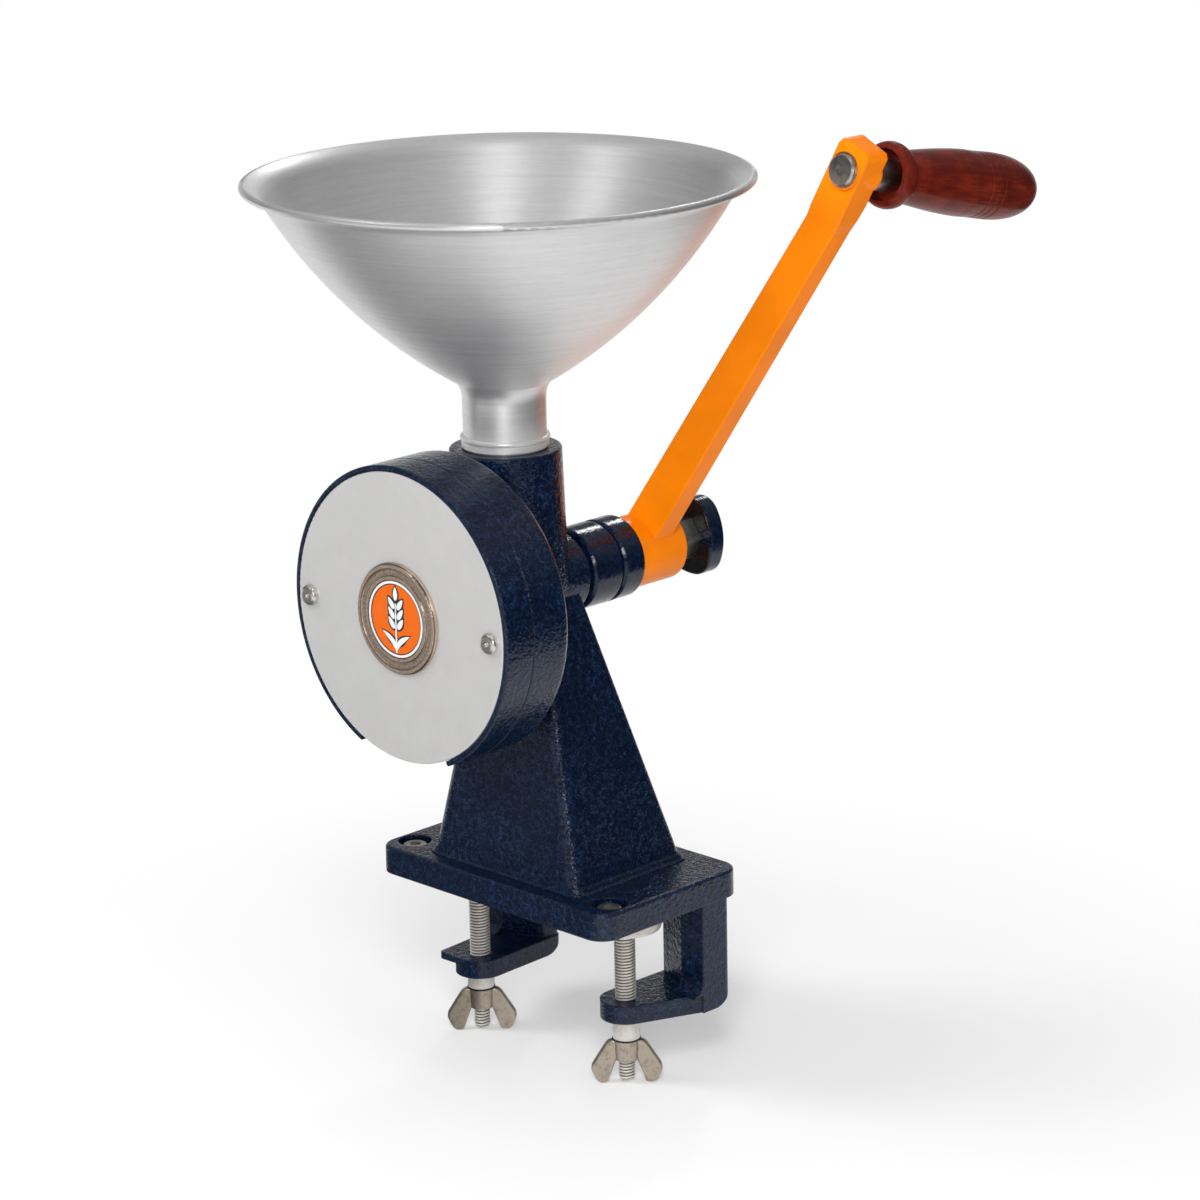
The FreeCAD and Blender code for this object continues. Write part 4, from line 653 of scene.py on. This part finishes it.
def blade(rise, width, bend, steps=14):
    """Closed outline of a leaf that starts at (0, 0), rises and bends outwards to +X."""
    sag = 0.18
    left, right = [], []
    for i in range(steps + 1):
        share = i / steps
        half = width / 2 * math.sin(math.pi * share) ** 0.8
        x = bend * share ** 1.8
        y = rise * share * (1 - sag * share)
        left.append((x - half, y + half * share * 0.5))
        right.append((x + half, y - half * share * 0.5))
    return right + left[-2:0:-1]


def laid(outline, grow=0.0, lean=0.0, x=0.0, y=0.0, mirror=1):
    """An outline grown about its middle, leant and moved. Lengths in millimetres."""
    mid = middle_of(outline)
    placed = []
    for point in outline:
        spoke = Vector(point) - mid
        spoke += spoke.normalized() * grow
        here = mid + spoke
        turned = Vector((here.x * math.cos(lean) - here.y * math.sin(lean),
                         here.x * math.sin(lean) + here.y * math.cos(lean)))
        placed.append(((turned.x + x) * mirror, turned.y + y))
    return placed


def add_shape(mesh, outline, low, high, crown=0.0):
    """Adds a flat shape with upright sides, a small chamfer and a crowned top to a mesh.
    The outline lies in X and Z, and the shape rises towards -Y."""
    side_top = high * 0.7 + low * 0.3
    levels = ((1.0, low), (1.0, side_top), (0.94, high), (0.5, high + crown))
    mid = middle_of(outline)
    rings = []
    for share, height in levels:
        ring = []
        for point in outline:
            here = mid + (Vector(point) - mid) * share
            ring.append(mesh.verts.new((here.x * MM, -height * MM, here.y * MM)))
        rings.append(ring)
    bridge(mesh, rings)
    mesh.faces.new(rings[0][::-1])
    mesh.faces.new(rings[-1])


def add_ring(mesh, inner, outer, low, high, steps=96):
    """Adds a flat ring about the Y axis to a mesh. It rises towards -Y."""
    loops = []
    for radius, height in ((outer, low), (outer, high), (inner, high), (inner, low)):
        loops.append([mesh.verts.new((x * MM, -height * MM, z * MM)) for x, z in circle(radius, steps)])
    bridge(mesh, [*loops, loops[0]])


def ear_shapes(sizes, grow):
    """Outlines of the ear's kernels, stem and leaves, grown by grow millimetres.
    The feet are heights above the middle of the disc, in millimetres."""
    top_foot = 8.6
    pairs, pair_foot, pair_out = 3, -4.4, 1.0
    stem_foot, stem_rise, stem_half, stem_top_half = -15.6, 23.0, 0.50, 0.34
    leaf_foot, leaf_out, leaf_rise, leaf_width, leaf_bend = -14.2, 0.6, 9.5, 3.0, 8.2
    kernel = teardrop(sizes.kernel_length / MM, sizes.kernel_width / MM)
    leaf = blade(leaf_rise, leaf_width, leaf_bend)
    stem = [(-stem_half, 0.0), (stem_half, 0.0), (stem_top_half, stem_rise), (-stem_top_half, stem_rise)]
    shapes = [laid(kernel, grow, y=top_foot)]
    for pair in range(pairs):
        foot = pair_foot + pair * sizes.kernel_rise / MM
        for mirror in (-1, 1):
            shapes.append(laid(kernel, grow, -sizes.kernel_lean, pair_out, foot, mirror))
    shapes.append(laid(stem, grow, y=stem_foot))
    for mirror in (-1, 1):
        shapes.append(laid(leaf, grow, x=leaf_out, y=leaf_foot, mirror=mirror))
    return shapes


def make_badge(context):
    """An ear of corn in white enamel with dark outlines, inside a white ring, and beads in the rim.
    Heights are shares of how deep the disc lies below the rim."""
    outline_rise, enamel_rise, crown_rise = 0.28, 0.5, 0.25
    bedded = -0.05        # millimetres, just below the disc's face
    ring_outer, ring_inner, ring_line = 0.15, 1.30, 1.75     # millimetres in from the disc's edge
    sizes = context.scene.mill_sizes
    disc_low, disc_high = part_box("badge_disc")
    middle = centre("badge_disc")
    place = Matrix.Translation((middle.x, disc_low.y, middle.z))
    disc_radius = (disc_high.x - disc_low.x) / 2 / MM
    sunk = (disc_low.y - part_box("badge_bezel")[0].y) / MM
    dark = bmesh.new()
    for shape in ear_shapes(sizes, sizes.outline_width / MM):
        add_shape(dark, shape, bedded, sunk * outline_rise)
    add_ring(dark, disc_radius - ring_line, disc_radius - ring_inner, bedded, sunk * outline_rise)
    light = bmesh.new()
    for shape in ear_shapes(sizes, 0.0):
        add_shape(light, shape, 0.0, sunk * enamel_rise, sunk * crown_rise)
    add_ring(light, disc_radius - ring_inner, disc_radius - ring_outer, bedded, sunk * enamel_rise)
    pieces = (("badge_outlines", dark, "dark_enamel"), ("badge_ear", light, "white_enamel"))
    for name, mesh, finish in pieces:
        new_piece(name, finished_mesh(name, mesh), place, "frame", finish)
    make_beads(sizes, middle, disc_radius)


def make_beads(sizes, middle, disc_radius):
    """Small domes along the valley of the badge's rim."""
    rim_low, rim_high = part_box("badge_bezel")
    rim_radius = (rim_high.x - rim_low.x) / 2 / MM
    ring_radius = (rim_radius + disc_radius) / 2
    mesh = bmesh.new()
    for x, z in circle(ring_radius, sizes.bead_count):
        dome(mesh, x, z, sizes.bead_size / MM)
    place = Matrix.Translation((middle.x, rim_low.y + sizes.valley_depth, middle.z))
    name = "badge_beads"
    new_piece(name, finished_mesh(name, mesh), place, "frame", "aged_nickel")


def dome(mesh, x, z, size, rings=4, steps=12):
    """Adds a closed half ball that rises towards -Y."""
    loops = []
    for row in range(rings):
        slope = math.pi / 2 * row / rings
        reach, height = size * math.cos(slope), size * math.sin(slope)
        loops.append([mesh.verts.new(((x + across) * MM, -height * MM, (z + rise) * MM))
                      for across, rise in circle(reach, steps)])
    top = mesh.verts.new((x * MM, -size * MM, z * MM))
    bridge(mesh, loops)
    for i in range(steps):
        mesh.faces.new((loops[-1][i], loops[-1][(i + 1) % steps], top))
    mesh.faces.new(loops[0][::-1])


def make_clamp_screw(context, side):
    """The clamp screw with its real thread, above and below the wing nut's hub."""
    sizes = context.scene.mill_sizes
    low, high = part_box(f"clamp_screw_{side}")
    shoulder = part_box(f"stop_collar_{side}")[0].z
    middle = (low + high) / 2
    stretches = (
        (low.z, shoulder, sizes.stub_radius),
        (shoulder, high.z, (high.x - low.x) / 2),
    )
    name = f"clamp_thread_{side}"
    mesh = threaded_rod(name, stretches, sizes.thread_pitch, sizes.thread_depth, sizes.thread_steps)
    place = Matrix.Translation((middle.x, middle.y, 0))
    new_piece(name, mesh, place, f"screw_{side}", "thread_steel", (f"clamp_screw_{side}",))


class MILL_OT_castings(bpy.types.Operator):
    """Paint the body, the base, the drum's ring and the two bearing collars"""

    bl_idname = "mill.castings"
    bl_label = "Castings"

    def execute(self, context):
        dress("navy_hammer", "body_casting", "burr_housing_ring", "base_casting")
        dress("navy_smooth", "bearing_cap", "thrust_collar")
        return {"FINISHED"}


class MILL_OT_cover(bpy.types.Operator):
    """Finish the cover, its screws and the screws of the plate"""

    bl_idname = "mill.cover"
    bl_label = "Cover"

    def execute(self, context):
        dress("satin_aluminium", "cover_plate")
        dress("bright_steel", "cover_screws", "mounting_screws", "base_screws")
        return {"FINISHED"}


class MILL_OT_badge(bpy.types.Operator):
    """Make the badge: an enamelled ear of corn in a beaded rim"""

    bl_idname = "mill.badge"
    bl_label = "Badge"

    def execute(self, context):
        dress("badge_rim", "badge_bezel")
        dress("orange_enamel", "badge_disc")
        make_badge(context)
        return {"FINISHED"}


class MILL_OT_hopper(bpy.types.Operator):
    """Finish the hopper and its collar"""

    bl_idname = "mill.hopper"
    bl_label = "Hopper"

    def execute(self, context):
        dress("spun_aluminium", "hopper", "hopper_collar")
        return {"FINISHED"}


class MILL_OT_crank(bpy.types.Operator):
    """Paint the crank arm and finish its bolt, washer and ferrule"""

    bl_idname = "mill.crank"
    bl_label = "Crank"

    def execute(self, context):
        dress("orange_paint", "crank_arm")
        dress("steel", "handle_bolt", "bolt_washer", "grip_ferrule", "thrust_washer")
        return {"FINISHED"}


class MILL_OT_grip(bpy.types.Operator):
    """Lacquer the wooden grip"""

    bl_idname = "mill.grip"
    bl_label = "Grip"

    def execute(self, context):
        dress("lacquered_wood", "handle_grip")
        dress("bronze", "grip_insert")
        return {"FINISHED"}


class MILL_OT_knob(bpy.types.Operator):
    """Finish the adjusting knob, its nut and the shaft"""

    bl_idname = "mill.knob"
    bl_label = "Adjusting knob"

    def execute(self, context):
        dress("knob_paint", "adjusting_knob")
        dress("steel", "knob_nut", "main_shaft")
        return {"FINISHED"}


class MILL_OT_clamps(bpy.types.Operator):
    """Cut the clamp screws and finish pads, stop collars and wing nuts"""

    bl_idname = "mill.clamps"
    bl_label = "Clamps"

    def execute(self, context):
        for side in ("right", "left"):
            dress("pad_metal", f"clamp_pad_{side}", f"stop_collar_{side}")
            dress("dark_steel", f"lock_ring_{side}")
            dress("wing_casting", f"wing_nut_{side}")
            make_clamp_screw(context, side)
        return {"FINISHED"}


class MILL_OT_inside(bpy.types.Operator):
    """Finish what is inside the drum, the feed tube and the bearing"""

    bl_idname = "mill.inside"
    bl_label = "Inner pieces"

    def execute(self, context):
        dress("burr_iron", "stationary_burr", "rotating_burr", "auger")
        dress("bronze", "rear_bush", "cap_bush")
        dress("steel", "burr_screws", "burr_key", "burr_nut", "auger_pin", "crank_key", "release_spring",
              "thrust_race_front", "thrust_race_rear", "thrust_balls")
        return {"FINISHED"}


class MILL_OT_stage(bpy.types.Operator):
    """Set up floor, light and camera"""

    bl_idname = "mill.stage"
    bl_label = "Stage"

    def execute(self, context):
        place_camera(context)
        lay_floor(context)
        light_sky(context)
        hang_lamps(context)
        return {"FINISHED"}


def away(turn, rise):
    """Direction from the mill, turned round it from its front and raised above the horizon."""
    return Vector((math.sin(turn) * math.cos(rise), -math.cos(turn) * math.cos(rise), math.sin(rise)))


def look_along(made, way):
    """Turns a camera or lamp so that it looks along a direction."""
    made.rotation_mode = "QUATERNION"
    made.rotation_quaternion = way.to_track_quat("-Z", "Y")


def place_camera(context):
    """The camera of the photograph's view."""
    studio = context.scene.mill_studio
    back = away(studio.azimuth, studio.elevation)
    data = bpy.data.cameras.new("camera")
    data.sensor_width = studio.sensor
    data.lens = studio.lens
    data.clip_end = 20.0
    camera = bpy.data.objects.new("camera", data)
    context.scene.collection.objects.link(camera)
    look_along(camera, -back)
    camera.rotation_quaternion @= Matrix.Rotation(studio.roll, 3, "Z").to_quaternion()
    camera.location = Vector(studio.aim) + back * studio.distance
    context.scene.camera = camera


def seen_rays(finish, glossy_share):
    """1 for rays from the camera and glossy_share for reflections and refractions."""
    camera, glossy, through = (finish.node("ShaderNodeLightPath", output=f"Is {kind} Ray")
                               for kind in ("Camera", "Glossy", "Transmission"))
    return camera + (glossy + through) * glossy_share


def lay_floor(context):
    """A white floor under the wing nuts. It keeps the mill's shadow and turns pure white further out.
    A flag on its left shades what the mill's dark paint reflects. Both are turned to the camera."""
    studio = context.scene.mill_studio
    right = Vector((1, 1, 0)).normalized()
    front = Vector((1, -1, 0)).normalized()
    low = Vector((0, 0, cad_box[0].z))
    corners = []
    for side, depth in ((-studio.floor_left, 1), (studio.floor_right, 1), (studio.floor_right, -1),
                        (-studio.floor_left, -1)):
        corners.append(right * side + front * depth * studio.floor_reach + low)
    mesh = bpy.data.meshes.new("floor")
    mesh.from_pydata(corners, [], [(0, 1, 2, 3)])
    floor = bpy.data.objects.new("floor", mesh)
    context.scene.collection.objects.link(floor)
    white = Finish("floor_white", (studio.floor_white,) * 3, Roughness=0.9, Specular_IOR_Level=0.05)
    far = white.vector("LENGTH", white.place((1, 1, 0)), output="Value")
    fade = white.step(far, studio.floor_near / MM, studio.floor_far / MM)
    share = studio.floor_lift + fade * (1 - studio.floor_lift)
    glow = white.light("Emission", 1.0)
    flag = white.light("Emission", studio.flag)
    lit = Wire(white, white.shader.outputs[0])
    shown = white.mix_shader(share * seen_rays(white, 1.0), lit, glow)
    x, y = white.part_of_place("X"), white.part_of_place("Y")
    left, ahead = (x + y) / -math.sqrt(2), (x - y) / math.sqrt(2)
    beside = white.step(left, studio.flag_edge / MM, studio.flag_full / MM)
    along = white.step(abs(ahead), studio.flag_end / MM, studio.flag_reach / MM)
    glossy = white.node("ShaderNodeLightPath", output="Is Glossy Ray")
    shown = white.mix_shader(beside * along * glossy * studio.flag_share, shown, flag)
    white.feed(white.tree.nodes["Material Output"].inputs["Surface"], shown)
    mesh.materials.append(white.material)


def light_sky(context):
    """A plain sky for the light, brighter overhead in reflections, and white to the camera."""
    zenith = 0.9      # sine of the elevation from which the reflected sky is at its brightest
    studio = context.scene.mill_studio
    sky = Finish("studio", kind="worlds")
    context.scene.world = sky.material
    way = sky.node("ShaderNodeTexCoord")
    up = sky.node("ShaderNodeSeparateXYZ", None, {0: way}, output="Z")
    behind = sky.vector("DOT_PRODUCT", way, away(studio.azimuth + math.pi, 0), output="Value")
    round_it = sky.step(behind, studio.backdrop_side, studio.backdrop_middle)
    up_it = sky.step(up, studio.backdrop_top, studio.backdrop_full)
    backdrop = round_it * up_it * studio.backdrop
    shade = studio.sky_low + sky.step(up, 0.0, zenith) * (studio.sky_high - studio.sky_low) + backdrop
    glossy = sky.node("ShaderNodeLightPath", output="Is Glossy Ray")
    lit = sky.mix_shader(glossy, sky.light("Background", studio.sky), sky.light("Background", shade))
    shown = sky.mix_shader(seen_rays(sky, studio.white_share), lit, sky.light("Background", 1.0))
    sky.feed(sky.tree.nodes["World Output"].inputs["Surface"], shown)


# Degrees round the mill and above the horizon, distance, width and height in metres, watts,
# and whether a reflection shows the lamp
Lamp = namedtuple("Lamp", "name azimuth elevation distance width height power mirrored")
LAMPS = (
    Lamp("key", -24, 52, 1.6, 0.24, 0.24, 1.4, True),
    Lamp("key_fill", -40, 38, 1.8, 0.55, 0.55, 10.0, False),
    Lamp("front", 42, 18, 2.1, 0.45, 0.45, 9.0, True),
    Lamp("front_fill", 44, 34, 2.0, 0.5, 0.5, 16.0, False),
    Lamp("top", 44, 66, 1.5, 0.20, 0.20, 1.1, True),
    Lamp("back", 210, 38, 1.7, 0.16, 0.30, 2.4, True),
)


def hang_lamps(context):
    """Soft boxes round the mill."""
    aim = Vector((0, 0, context.scene.mill_studio.lamp_aim))
    for lamp in LAMPS:
        back = away(math.radians(lamp.azimuth), math.radians(lamp.elevation))
        data = bpy.data.lights.new(lamp.name, "AREA")
        data.shape = "RECTANGLE"
        data.size = lamp.width
        data.size_y = lamp.height
        data.energy = lamp.power
        box = bpy.data.objects.new(lamp.name, data)
        look_along(box, -back)
        box.location = aim + back * lamp.distance
        box.visible_camera = False
        box.visible_glossy = lamp.mirrored
        context.scene.collection.objects.link(box)


class MILL_PT_panel(bpy.types.Panel):
    """Colours, sizes and the making of each group of pieces"""

    bl_idname = "MILL_PT_panel"
    bl_label = "Hand grain mill"
    bl_space_type = "VIEW_3D"
    bl_region_type = "UI"
    bl_category = "Grain mill"

    def draw(self, context):
        for group in (context.scene.mill_colours, context.scene.mill_sizes, context.scene.mill_studio):
            box = self.layout.box()
            for key in group.bl_rna.properties.keys():
                if key not in ("rna_type", "name"):
                    box.prop(group, key)
        for operator in operators:
            self.layout.operator(operator.bl_idname)


groups = (MillColours, MillSizes, MillStudio)
operators = (
    MILL_OT_stage, MILL_OT_castings, MILL_OT_cover, MILL_OT_badge, MILL_OT_hopper, MILL_OT_crank,
    MILL_OT_grip, MILL_OT_knob, MILL_OT_clamps, MILL_OT_inside,
)


def register():
    """Makes the classes and the scene's settings known."""
    for made in (*groups, *operators, MILL_PT_panel):
        bpy.utils.register_class(made)
    bpy.types.Scene.mill_colours = PointerProperty(type=MillColours)
    bpy.types.Scene.mill_sizes = PointerProperty(type=MillSizes)
    bpy.types.Scene.mill_studio = PointerProperty(type=MillStudio)


def unregister():
    """Takes back what register did."""
    del bpy.types.Scene.mill_colours
    del bpy.types.Scene.mill_sizes
    del bpy.types.Scene.mill_studio
    for made in reversed((*groups, *operators, MILL_PT_panel)):
        bpy.utils.unregister_class(made)


def main():
    """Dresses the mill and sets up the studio."""
    register()
    bpy.context.scene.view_settings.view_transform = "Standard"
    for operator in operators:
        group, name = operator.bl_idname.split(".")
        getattr(getattr(bpy.ops, group), name)()


if __name__ == "__main__":
    main()
